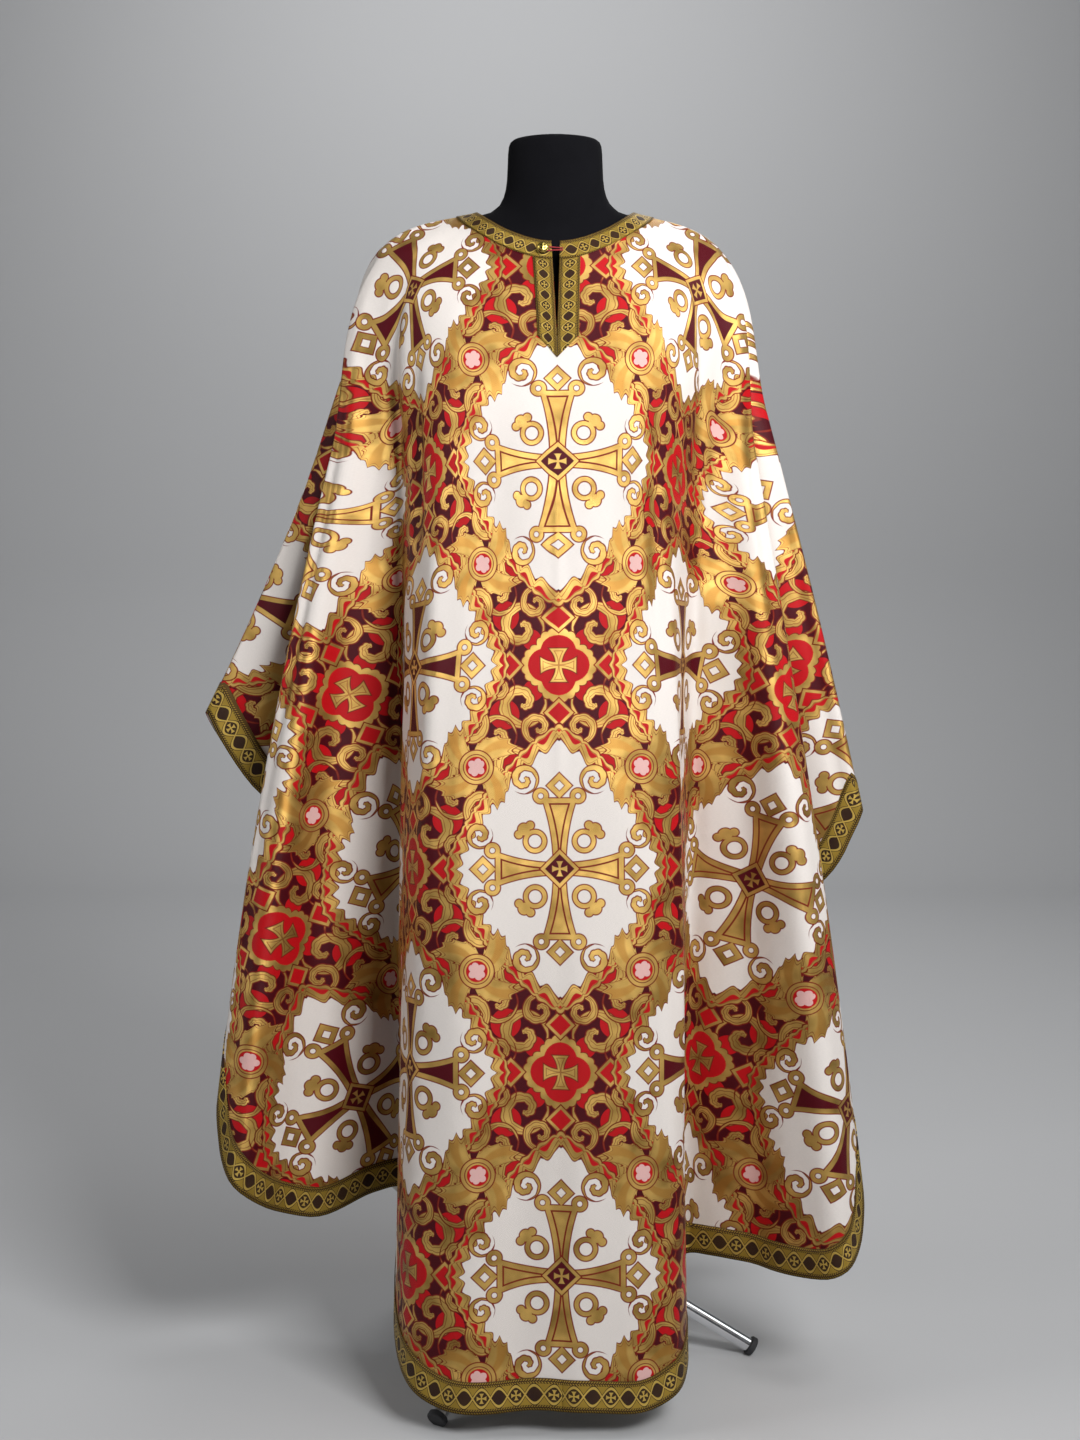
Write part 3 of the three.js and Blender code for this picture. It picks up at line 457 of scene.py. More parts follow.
class Term:
    """A number that varies over a surface: a shader socket with Python's operators."""

    def __init__(self, recipe, socket):
        self.recipe, self.socket = recipe, socket

    __add__ = __radd__ = maths("ADD")
    __sub__, __rsub__ = maths("SUBTRACT"), maths("SUBTRACT", swapped=True)
    __mul__ = __rmul__ = maths("MULTIPLY")
    __truediv__, __pow__ = maths("DIVIDE"), maths("POWER")


size, root, sine, cosine, angle, fold, above = map(maths, (
    "ABSOLUTE", "SQRT", "SINE", "COSINE", "ARCTAN2", "PINGPONG", "GREATER_THAN"))


def chained(operation):
    """A function that works a two-sided operation along its values."""
    return lambda first, *others: reduce(maths(operation), others, first)


least, most = chained("MINIMUM"), chained("MAXIMUM")
EDGE = 0.04  # centimetres: half the soft edge of a woven figure


def within(distance, soft=EDGE):
    """1 where the distance is under zero, with an edge that is twice soft wide."""
    return distance.recipe.math("MULTIPLY_ADD", distance, -0.5 / soft, 0.5, clamp=True)


class Recipe:
    """One material's node tree and the short calls that fill it."""

    def __init__(self, name):
        self.material = bpy.data.materials.new(name)
        self.material.use_nodes = True
        self.tree = self.material.node_tree
        self.tree.nodes.clear()

    def add(self, kind, settings=None, inputs=None):
        """Adds a node, sets its settings, then gives each socket its value or link."""
        node = self.tree.nodes.new(kind)
        for key, value in (settings or {}).items():
            setattr(node, key, value)
        for key, value in (inputs or {}).items():
            if isinstance(value, Term):
                value = value.socket
            if isinstance(value, bpy.types.NodeSocket):
                self.tree.links.new(value, node.inputs[key])
            else:
                node.inputs[key].default_value = value
        return node

    def math(self, operation, *values, clamp=False):
        node = self.add("ShaderNodeMath", {"operation": operation, "use_clamp": clamp},
                        dict(enumerate(values)))
        return Term(self, node.outputs[0])

    def attribute(self, name):
        """The three numbers of a point attribute."""
        node = self.add("ShaderNodeAttribute", {"attribute_name": name})
        return self.parts(node.outputs["Vector"])

    def place(self):
        """Object coordinates, as a socket."""
        return self.add("ShaderNodeTexCoord").outputs["Object"]

    def parts(self, vector):
        split = self.add("ShaderNodeSeparateXYZ", inputs={0: vector})
        return [Term(self, output) for output in split.outputs]

    def joined(self, x, y):
        return self.add("ShaderNodeCombineXYZ", inputs={0: x, 1: y}).outputs[0]

    def noise(self, vector, scale, detail, roughness=0.5):
        node = self.add("ShaderNodeTexNoise", inputs={
            "Vector": vector, "Scale": scale, "Detail": detail, "Roughness": roughness})
        return Term(self, node.outputs[0])

    def mix(self, share, under, over):
        """The colour over laid on the colour under, by share."""
        node = self.add("ShaderNodeMix", {"data_type": "RGBA"}, {0: share, 6: under, 7: over})
        return node.outputs[2]

    def bump(self, height, distance, strength):
        return self.add("ShaderNodeBump", inputs={
            "Strength": strength, "Distance": distance, "Height": height}).outputs[0]

    def surface(self, **inputs):
        """The principled shader and the output. Names with _ stand for sockets with spaces."""
        named = {key.replace("_", " "): value for key, value in inputs.items()}
        shader = self.add("ShaderNodeBsdfPrincipled", inputs=named)
        self.add("ShaderNodeOutputMaterial", inputs={"Surface": shader.outputs[0]})
        return self.material


def colour(values, share=1.0):
    """A stored colour times the share, with its alpha."""
    return (*(value * share for value in values[:3]), 1.0)


def colours_named(colours, names):
    return [colour(getattr(colours, name)) for name in names.split()]


# ---- brocade

HALF_REPEAT_X, HALF_REPEAT_Y = 21.0, 25.7  # centimetres from a cross to the next medallion
FIELD_X, FIELD_Y, FIELD_POWER = 12.9, 16.1, 1.3  # half width, half height and pointedness
OUTLINE = 0.15                             # width of the line round every gold figure
VEIN_HALF, VEIN_SHARE = 0.045, 0.75        # half width and strength of the line inside
# Scrolls of the net and in the field's corners: centre across and up, radius, pitch, width,
# direction, start and the depth of the vein.
NET_SCROLLS = [
    (4.6, 4.8, 3.1, 2.7, 0.62, 1.0, 0.5, 0.3), (7.9, 8.8, 2.5, 2.2, 0.52, -1.0, 0.2, 0.25),
    (11.6, 7.4, 2.7, 2.3, 0.52, 1.0, 1.1, 0.25), (5.9, 12.9, 2.7, 2.3, 0.52, -1.0, 0.6, 0.25),
    (7.7, 2.6, 2.0, 1.8, 0.42, -1.0, 0.1, 0.2), (2.6, 7.9, 2.1, 1.8, 0.42, 1.0, 0.1, 0.2)]
FIELD_SCROLLS = [
    (10.1, 4.2, 1.55, 1.5, 0.34, -1.0, 0.1, 0.0), (4.4, 11.3, 1.75, 1.6, 0.36, 1.0, 0.5, 0.0)]
# Discs: centre across and up, and radius.
NET_DROPS = [(6.9, 6.2, 1.9), (3.2, 3.2, 1.3), (10.9, 7.6, 1.9), (5.6, 12.6, 1.9)]
CROSS_BUDS = [(4.5, 5.0, 0.75), (3.7, 5.5, 0.5), (5.15, 4.35, 0.5)]
FLARE_POWER = 2.2


def distance_to(here, x, y):
    """From here, a pair of varying numbers, to a place."""
    dx, dy = here[0] - x, here[1] - y
    return root(dx * dx + dy * dy)


def disc(here, x, y, radius):
    """Distance to a circle."""
    return distance_to(here, x, y) - radius


def lozenge(here, x, y, reach):
    """Distance to a square that stands on its corner."""
    return (size(here[0] - x) + size(here[1] - y) - reach) * math.sqrt(0.5)


def scroll(here, x, y, radius, pitch, width, hand, start):
    """Distance to a spiral band that widens outwards and ends at the radius."""
    dx, dy = here[0] - x, here[1] - y
    reach = root(dx * dx + dy * dy)
    turn = angle(dy * hand, dx)
    line = fold(reach - turn * (pitch / math.tau) + start, pitch / 2.0)
    band = line - (width * 0.5 + reach * (width * 0.55 / radius)
                   + size(sine(turn * 4.0)) * (width * 0.22))
    return most(band, reach - radius)


def flared_cross(here, long_x, long_y, waist, flare):
    """Distance to four arms that widen from the waist to the flare."""
    def arm(along, long, across):
        half = waist + (flare - waist) * ((along / long) ** FLARE_POWER)
        return most(across - half, along - long)
    x, y = size(here[0]), size(here[1])
    return least(arm(y, long_y, x), arm(x, long_x, y))


class Layers:
    """Colour and gilding built up by laying one woven figure on the last."""

    def __init__(self, recipe, ground, gold=None, outline=None):
        self.recipe, self.colour, self.gold, self.outline = recipe, ground, gold, outline
        self.gilded = None

    def lay(self, mask, over, gilt=0):
        """Lays a colour; gilt is 1 for gold thread and 0 for silk."""
        self.colour = self.recipe.mix(mask, self.colour, over)
        if self.gilded is None:
            self.gilded = mask * gilt
        elif gilt:
            self.gilded = most(self.gilded, mask)
        else:
            self.gilded = self.gilded * (1.0 - mask)

    def fill(self, distance, over, gilt=0, soft=EDGE):
        self.lay(within(distance, soft), over, gilt)

    def figure(self, distance, vein=0.0):
        """Lays a gold figure with a thin outline round it, and a vein at that depth inside."""
        self.colour = self.recipe.mix(within(distance - OUTLINE), self.colour, self.outline)
        self.fill(distance, self.gold, 1)
        if vein:
            self.colour = self.recipe.mix(
                within(size(distance + vein) - VEIN_HALF) * VEIN_SHARE, self.colour, self.outline)


def brocade_material(name, colours):
    """Crosses in pointed white fields on a half-drop net of wine ground, gold scrolls, scarlet
    medallions and rosettes, all drawn from folded flat-cut coordinates."""
    recipe = Recipe(name)
    flat_x, flat_y, _ = recipe.attribute("flat_cut")
    weft = recipe.noise(recipe.joined(flat_x * 0.9, flat_y * 9.0), 3.0, 2.0)
    x, y = fold(flat_x, HALF_REPEAT_X), fold(flat_y, HALF_REPEAT_Y)
    far = above(x / HALF_REPEAT_X + y / HALF_REPEAT_Y, 1.0)
    cross_x = x + far * (HALF_REPEAT_X - 2.0 * x)
    cross_y = y + far * (HALF_REPEAT_Y - 2.0 * y)
    beside = above(x / HALF_REPEAT_X - y / HALF_REPEAT_Y, 0.0)
    net_x = x + beside * (HALF_REPEAT_X - 2.0 * x)
    net_y = (HALF_REPEAT_Y - y) + beside * (2.0 * y - HALF_REPEAT_Y)
    net, cross = (net_x, net_y), (cross_x, cross_y)

    white, wine, scarlet, amber, line, pink, gold_in_painted_shade, bright = colours_named(
        colours, "white wine scarlet amber outline pink olive gold")
    # painted light on the gold thread: a slow noise mixes a darker shaded copy of the gold with
    # the gold where it catches the light
    painted_gold_light = recipe.noise(recipe.joined(flat_x * 0.16, flat_y * 0.16), 1.6, 2.0)
    gold = recipe.mix(within(0.5 - painted_gold_light, 0.22), gold_in_painted_shade, bright)
    layers = Layers(recipe, recipe.mix(weft, wine, colour(wine, 0.6)), gold, line)

    # the net: scarlet drops and scrolls, and a medallion at each crossing
    layers.fill(least(*(disc(net, *drop) for drop in NET_DROPS)), scarlet)
    for *place, vein in NET_SCROLLS:
        layers.figure(scroll(net, *place), vein)
    turn = angle(net_y, net_x)
    foil = distance_to(net, 0.0, 0.0) - (2.9 + 0.9 * size(cosine(turn * 2.0)))
    layers.figure(size(foil - 0.34) - (0.30 + 0.26 * size(sine(turn * 12.0))))
    layers.fill(foil, scarlet)
    layers.figure(flared_cross(net, 2.1, 2.1, 0.34, 1.0), 0.3)
    lozenges = least(lozenge(net, 6.3, 0.0, 1.35), lozenge(net, 0.0, 6.0, 1.35))
    layers.figure(lozenges - 0.34)
    layers.fill(lozenges, scarlet)

    # the white field with its frilled leaf border and two tendrils in each corner
    round_field = angle(cross_y, cross_x)
    spread = (cross_x / FIELD_X) ** FIELD_POWER + (cross_y / FIELD_Y) ** FIELD_POWER
    field = (spread ** (1.0 / FIELD_POWER) - 1.0) * 12.0 + sine(round_field * 40.0) * 0.3
    layers.fill(field, white)
    frill = size(sine(round_field * 20.0 + field * 0.6))
    layers.figure(size(field - 0.7) - (0.38 + frill * 0.62), 0.3)
    layers.fill(size(field - 0.85 - frill * 0.2) - (frill * 0.40 - 0.10), scarlet)
    for *place, vein in FIELD_SCROLLS:
        layers.figure(scroll(cross, *place), vein)

    # a rosette with four twisted leaves between every two fields
    rose = distance_to(cross, HALF_REPEAT_X / 2, HALF_REPEAT_Y / 2)
    turn = angle(cross_y - HALF_REPEAT_Y / 2, cross_x - HALF_REPEAT_X / 2)
    twist = turn * 2.0 - rose * 0.3 + 2.75
    ruffle = size(sine(turn * 16.0 - rose * 1.4))
    blades = rose - (1.9 + 4.0 * (size(cosine(twist)) ** 1.3) - ruffle * 0.6)
    layers.figure(blades, 0.3)
    shaded = within(blades + 0.3) * within(size(sine(twist) * cosine(twist)) * 3.0 - 0.9, 0.2)
    layers.colour = recipe.mix(shaded * 0.6, layers.colour, amber)
    layers.fill(rose - 2.25, line)
    layers.fill(rose - 2.1, gold, 1)
    layers.fill(size(rose - 1.62) - 0.06, line)
    layers.fill(rose - 1.35, scarlet)
    layers.fill(rose - (0.8 + 0.35 * size(cosine(turn * 2.5))), pink)

    # the cross
    arms = flared_cross(cross, 8.1, 8.9, 0.75, 2.2)
    tips, holes = (
        least(lozenge(cross, 9.7, 0.0, reach), disc(cross, 8.5, 2.35, radius),
              lozenge(cross, 0.0, 10.5, reach), disc(cross, 2.35, 9.2, radius))
        for reach, radius in ((1.6, 0.95), (0.6, 0.32)))
    loop = size(disc(cross, 3.1, 3.5, 1.2)) - 0.26
    buds = least(*(disc(cross, *bud) for bud in CROSS_BUDS))
    layers.figure(least(loop, buds))
    layers.figure(least(arms, tips))
    layers.fill(holes - 0.1, line)
    layers.fill(holes, white)
    layers.fill(size(arms + 0.72) - 0.11, line)
    layers.lay(within(arms + 0.62) * far, wine)
    hub = lozenge(cross, 0.0, 0.0, 2.0)
    layers.figure(hub - 0.3)
    layers.fill(hub + 0.1, wine)
    layers.fill(flared_cross(cross, 0.95, 0.95, 0.12, 0.42), gold, 1)

    gilt = layers.gilded
    threads = sine((flat_x + flat_y) * 52.0) * 0.6 + sine(flat_x * 70.0) * 0.4
    tone = recipe.mix(weft * 0.2, layers.colour, colour((0.0, 0.0, 0.0)))
    return recipe.surface(
        Base_Color=tone, Metallic=gilt * 0.72, Roughness=0.44 - gilt * 0.08 + weft * 0.08,
        Sheen_Weight=0.02, Sheen_Roughness=0.4, Specular_IOR_Level=0.16,
        Normal=recipe.bump(threads, 0.00012, 0.8))


def lining_material(name, colours):
    """Cream satin: fine warp lines and a soft mottle."""
    recipe = Recipe(name)
    flat_x, flat_y, _ = recipe.attribute("flat_cut")
    mottle = recipe.noise(recipe.joined(flat_x, flat_y * 0.3), 0.6, 3.0)
    lines = sine(flat_x * 60.0)
    cream, shade = colour(colours.lining), colour(colours.lining, 0.9)
    return recipe.surface(
        Base_Color=recipe.mix(mottle, cream, shade), Roughness=0.42 + mottle * 0.08,
        Sheen_Weight=0.15, Normal=recipe.bump(lines, 0.0001, 0.5))


# ---- galloon

BAND_SOFT, BAND_THREAD = 0.1, 0.9  # millimetres: softness of the figures' edges, and one thread
HEM_CELL, NECK_CELL = 23.0, 14.5   # length of one cell of the pattern


def galloon_material(name, colours, width, repeat):
    """Two crossing waves make round cells along the band; a dark lozenge and a small gold cross
    fill them in turn, between dark braided edges. The galloon attribute holds millimetres along
    and across; repeat is the length of one cell."""
    recipe = Recipe(name)
    along, across, _ = recipe.attribute("galloon")
    half = width / 2.0
    y = size(across - half)
    gold, bronze, dark, bright = colours_named(colours, "galloon bronze cell wave")
    other = above(sine(along * (math.pi / repeat)), 0.0)
    from_cell = fold(along + repeat / 2.0, repeat / 2.0)
    satin, swing = half * 0.66, half * 0.55
    layers = Layers(recipe, bronze)

    # braided edges: two ropes of slanting gold stitches on dark
    layers.fill(size(y - half * 0.80) - half * 0.17, dark, soft=BAND_SOFT)
    for middle, hand in ((0.90, 1.0), (0.73, -1.0)):
        slant = sine(along * (math.tau / (half * 0.16)) + y * (hand * math.tau / (half * 0.22)))
        rope = within(size(y - half * middle) - half * 0.055, 0.12)
        layers.lay(rope * within(0.0 - slant - 0.1, 0.5), gold, 1)

    # satin ground with its waves
    layers.fill(y - satin, gold, 1, BAND_SOFT)
    wave = size(size(sine(along * (math.pi / repeat))) * swing - y)
    layers.fill(wave - half * 0.15, dark, 0, BAND_SOFT)
    layers.fill(wave - half * 0.085, bright, 1, BAND_SOFT)
    reach = distance_to((from_cell, y), 0.0, 0.0) * 0.55 + (from_cell + y) * 0.45
    layers.fill(reach - swing * 0.86, dark, 0, BAND_SOFT)
    small = flared_cross((from_cell, y), swing * 0.56, swing * 0.56, half * 0.035, half * 0.15)
    layers.lay(within(small, BAND_SOFT) * other, bright, 1)
    gilt = layers.gilded
    thread = sine(along * (math.tau / BAND_THREAD)) * sine(across * (math.tau / BAND_THREAD))
    worn = recipe.noise(recipe.place(), 45.0, 3.0)
    tone = recipe.mix(worn * 0.4, layers.colour, bronze)
    return recipe.surface(
        Base_Color=tone, Metallic=gilt * 0.66, Roughness=0.5 - gilt * 0.08,
        Specular_IOR_Level=0.18, Normal=recipe.bump(thread, 0.0002, 0.8))


# ---- hard finishes

def jersey_material(name, tint):
    """Matt black knit: fine wales and courses, and a little lint."""
    recipe = Recipe(name)
    place = recipe.place()
    x, y, z = recipe.parts(place)
    turn = angle(y, x)
    knit = sine(turn * 260.0) * sine(z * 4200.0)
    lint = recipe.noise(place, 30.0, 4.0)
    return recipe.surface(
        Base_Color=recipe.mix(lint * 0.5, colour(tint), colour(tint, 2.2)), Roughness=0.92,
        Specular_IOR_Level=0.06, Sheen_Weight=0.01, Normal=recipe.bump(knit, 0.0002, 0.4))


def chrome_material(name, tint):
    """Polished tube with faint fine scratches and dull patches."""
    recipe = Recipe(name)
    place = recipe.place()
    patch = recipe.noise(place, 22.0, 4.0)
    scratch = recipe.noise(place, 900.0, 2.0)
    return recipe.surface(
        Base_Color=recipe.mix(patch * 0.25, colour(tint), (0.5, 0.5, 0.52, 1.0)), Metallic=1.0,
        Roughness=0.09 + patch * 0.14, Normal=recipe.bump(scratch, 0.00002, 0.25))


def rubber_material(name, tint):
    """Moulded rubber with scuffed dust."""
    recipe = Recipe(name)
    place = recipe.place()
    dust = recipe.noise(place, 70.0, 5.0, 0.65)
    return recipe.surface(
        Base_Color=recipe.mix(dust * 0.35, colour(tint), (0.11, 0.11, 0.12, 1.0)),
        Roughness=0.62 + dust * 0.22, Normal=recipe.bump(dust, 0.0004, 0.35))


def gilt_material(name, tint):
    """Cast gilt with painted shade in its dark recesses, from the height stored on the piece."""
    recipe = Recipe(name)
    depth, _, _ = recipe.attribute("relief")
    grain = recipe.noise(recipe.place(), 1500.0, 2.0)
    # painted shade: the colour turns near-black brown where the relief is low, in the piercings
    tone = recipe.mix(within(depth - 0.35, 0.3), colour(tint), (0.05, 0.025, 0.008, 1.0))
    return recipe.surface(
        Base_Color=tone, Metallic=1.0, Roughness=0.24 + grain * 0.16,
        Normal=recipe.bump(grain, 0.00006, 0.3))


def cord_material(name, tint):
    """Twisted red cord: slanting plies round and along the tube, with painted shade darkening the
    grooves between them.
    """
    recipe = Recipe(name)
    along, turn, _ = recipe.attribute("twist")
    plies = sine(along * 4.2 + turn * 2.0)
    return recipe.surface(
        # painted shade: the colour falls to 0.35 of the tint where the plies are low, in the
        # grooves
        Base_Color=recipe.mix(plies * 0.5 + 0.5, colour(tint, 0.35), colour(tint)),
        Roughness=0.6, Sheen_Weight=0.3, Normal=recipe.bump(plies, 0.0002, 0.6))


# ---- properties

def number(name, description, default, kind="FloatProperty", **more):
    """A setting; its limits, kind of measure and unit are given by name."""
    return getattr(bpy.props, kind)(name=name, description=description, default=default, **more)


def tint(name, description, default):
    return number(name, description, default, "FloatVectorProperty", size=3, subtype="COLOR",
                  min=0.0, max=1.0)


def length(name, description, default):
    return number(name, description, default, subtype="DISTANCE", unit="LENGTH")


def power(name, description, default):
    return number(name, description, default, min=0.0, subtype="POWER", unit="POWER")


class ClothSettings(bpy.types.PropertyGroup):
    """Thickness and fineness of the cloth and its bands."""

    wall: length("Cloth", "Thickness of the interlined brocade", 0.0016)
    galloon_wall: length("Galloon", "Thickness of the woven bands", 0.0010)
    columns: number(
        "Columns", "Columns of the mesh between two fold lines", 8, "IntProperty", min=2)
    fall_rows: number("Rows", "Rows of the mesh from yoke to hem", 104, "IntProperty", min=20)
    cross_height: length(
        "Cross height", "Height of the middle cross over the yoke on the flat cut", -0.620)


class ColourSettings(bpy.types.PropertyGroup):
    """Colours of the silks, gold threads and stand."""

    white: tint("White satin", "Ground of the fields", (0.82, 0.760, 0.715))
    wine: tint("Wine silk", "Ground of the net", (0.082, 0.001, 0.006))
    scarlet: tint("Scarlet silk", "Medallions and drops", (0.50, 0.004, 0.008))
    gold: tint("Gold thread", "Scrolls and crosses where they catch the light", (0.84, 0.53, 0.15))
    # shaded copy of the gold thread, for the painted shade on the scrolls and crosses
    olive: tint("Dull gold thread", "Scrolls and crosses in the shade", (0.32, 0.19, 0.045))
    amber: tint("Amber thread", "Shaded side of the leaves", (0.50, 0.22, 0.04))
    outline: tint("Outline silk", "Thin line round every figure", (0.20, 0.012, 0.006))
    pink: tint("Pink silk", "Petals of the rosettes", (0.78, 0.47, 0.44))
    lining: tint("Reverse", "Inside of the cloth", (0.74, 0.70, 0.63))
    galloon: tint("Galloon gold", "Ground of the woven bands", (0.40, 0.265, 0.04))
    wave: tint("Galloon waves", "Waves and crosses of the bands", (0.66, 0.46, 0.10))
    bronze: tint("Galloon bronze", "Shaded threads of the bands", (0.10, 0.055, 0.013))
    cell: tint("Galloon dark", "Dark cells of the bands", (0.020, 0.004, 0.004))
    gilt: tint("Gilt", "Button", (0.86, 0.66, 0.16))
    cord: tint("Red cord", "Button loop", (0.50, 0.008, 0.02))
    jersey: tint("Black jersey", "Cover of the dress form", (0.0035, 0.0035, 0.0045))
    chrome: tint("Chrome", "Stand tubes", (0.82, 0.83, 0.85))
    rubber: tint("Rubber", "Feet", (0.014, 0.014, 0.015))


class StudioSettings(bpy.types.PropertyGroup):
    """Backdrop, lamps and camera."""

    paper: tint("Backdrop", "Pale seamless paper", (0.50, 0.505, 0.515))
    front: power("Front lamp", "Power of the high lamp at the front right", 37.0)
    side: power("Side lamps", "Power of the side lamps, before each one's share", 22.0)
    wall: power("Wall lamp", "Power of the lamp behind, on the wall", 46.0)
    floor: power("Floor lamp", "Power of the lamp overhead on the right", 17.0)
    back: power("Back lamp", "Power of the high lamp behind the form", 18.0)
    sky: number("Room light", "Strength of the even light", 0.07, min=0.0)
    distance: length("Camera distance", "From the camera to the pole", 2.70)
    height: length("Camera height", "Above the floor", 1.150)
    pitch: number("Camera pitch", "Tilt down from level", math.radians(5.57),
                  subtype="ANGLE", unit="ROTATION")
    lens: number("Lens", "Focal length, millimetres on a 36 mm long side", 50.0,
                 subtype="DISTANCE_CAMERA", unit="CAMERA")


# ---- the cloth's pieces

def cloth_rows(count):
    """Shares of a rib: close rows round the slit, then even rows to the hem."""
    return np.concatenate([
        np.linspace(0.0, SLIT_FOOT, 19)[:-1],
        np.linspace(SLIT_FOOT, SHOULDER_SHARE, 9)[:-1],
        np.linspace(SHOULDER_SHARE, 1.0, count + 1)])


def cloth_panel(name, halves, settings, slit):
    """A panel made of two half grids that run outwards from the centre line. Each half is given
    by its side, first and last fold line. Above the foot of a slit the halves stay apart."""
    rows = cloth_rows(settings.fall_rows)
    points, flats, faces, counts, total = [], [], [], [], 0
    for side, first, last in halves:
        counts.append(abs(last - first) * settings.columns + 1)
        rib, v = np.meshgrid(np.linspace(first, last, counts[-1]), rows)
        faces.append(facing_out(grid_faces(*rib.shape, first=total), rib))
        points.append(cloth(rib, v, 0.0, side if slit else 0).reshape(-1, 3))
        flat = flat_cut(rib, v, side) / 10.0  # centimetres
        flat_y = flat[..., 1:] - settings.cross_height * 100.0
        flats.append(np.concatenate([flat[..., :1], flat_y, flat_y * 0.0], -1).reshape(-1, 3))
        total += rib.size
    # the second half's centre column becomes the first half's, below the slit
    row = np.arange(len(rows))[rows >= (SLIT_FOOT if slit else 0.0)]
    swap = np.arange(total)
    swap[len(points[0]) + row * counts[1]] = row * counts[0]
    piece = make_mesh(name, np.concatenate(points), swap[np.concatenate(faces)], "flat_cut",
                      np.concatenate(flats))
    give_wall(piece, settings.wall, 1)
    return piece


class PHELONION_OT_front(bpy.types.Operator):
    """Front panel of brocade, slit at the neck, with its soft creases"""

    bl_idname = "phelonion.front"
    bl_label = "Front panel"

    def execute(self, context):
        settings, colours = context.scene.phelonion_cloth, context.scene.phelonion_colours
        halves = [(-1, 0, LEFT_SEAM), (1, LOOP_END, RIGHT_SEAM)]
        piece = cloth_panel("front_brocade", halves, settings, True)
        finish_piece(piece, [
            brocade_material("figured_brocade", colours),
            lining_material("satin_reverse", colours)], "front")
        return {"FINISHED"}


class PHELONION_OT_back(bpy.types.Operator):
    """Back panel of brocade, joined to the front at the arms"""

    bl_idname = "phelonion.back"
    bl_label = "Back panel"

    def execute(self, context):
        halves = [(1, CENTRE_BACK, LEFT_SEAM), (-1, CENTRE_BACK, RIGHT_SEAM)]
        piece = cloth_panel("back_brocade", halves, context.scene.phelonion_cloth, False)
        finish_piece(
            piece, list(bpy.data.objects["front_brocade"].data.materials), "back")
        return {"FINISHED"}


BAND_COLUMNS, PLACKET_ROWS = 7, 30
PLACKET_GAP = 0.15  # millimetres by which each placket stands off its edge of the slit


def band_mesh(name, rib, v, lift, side, edge_row):
    """A band on the cloth. Its attribute holds the distance along the finished edge and the
    distance from it, measured square to that edge."""
    base = cloth(rib, v, lift, side)
    line = base[edge_row]
    along = running(measure(np.diff(line, axis=0)))
    tangent = unit(np.gradient(line, axis=0))
    offset = base - line
    slide = (offset * tangent).sum(-1)
    away = measure(offset - slide[..., None] * tangent)
    values = np.stack([along + slide, away, np.zeros_like(away)], axis=-1) / MM
    return make_mesh(name, base, facing_out(grid_faces(*rib.shape), rib), "galloon", values)


def band_lift(settings):
    """The band's top skin lies one seat and one thickness over the cloth."""
    return SEAT + settings.galloon_wall / MM


def finish_band(piece, settings, material, node):
    give_wall(piece, settings.galloon_wall)
    finish_piece(piece, [material], node)


def round_band(name, settings, start_and_end, sides, edge_row, material, node):
    """A band right round the cloth. start_and_end and sides are worked out from its columns, and
    edge_row is the row of its finished edge."""
    columns = np.linspace(0, LOOP_END, LOOP_END * settings.columns + 1)
    start, end = start_and_end(columns)
    v = start + (end - start) * np.linspace(0.0, 1.0, BAND_COLUMNS)[:, None]
    rib = np.broadcast_to(columns, v.shape)
    piece = band_mesh(name, rib, v, band_lift(settings), sides(rib), edge_row)
    finish_band(piece, settings, material, node)


class PHELONION_OT_hem_galloon(bpy.types.Operator):
    """Wide galloon round the whole hem"""

    bl_idname = "phelonion.hem_galloon"
    bl_label = "Hem galloon"

    def execute(self, context):
        settings, colours = context.scene.phelonion_cloth, context.scene.phelonion_colours
        material = galloon_material("hem_galloon", colours, HEM_GALLOON_WIDTH, HEM_CELL)
        round_band("hem_galloon", settings, lambda columns: (hem_band_edge(columns), 1.0),
                   lambda rib: 0, -1, material, "hem_band")
        return {"FINISHED"}


class PHELONION_OT_neck_galloon(bpy.types.Operator):
    """Narrow galloon round the neckline, open at the slit"""

    bl_idname = "phelonion.neck_galloon"
    bl_label = "Neck galloon"

    def execute(self, context):
        settings, colours = context.scene.phelonion_cloth, context.scene.phelonion_colours
        material = galloon_material("neck_galloon", colours, NECK_GALLOON_WIDTH, NECK_CELL)
        round_band("neck_galloon", settings, lambda columns: (0.0, neck_band_edge(columns)),
                   lambda rib: np.where(rib < LOOP_END / 2, -1.0, 1.0), 0, material, "neck_band")
        return {"FINISHED"}


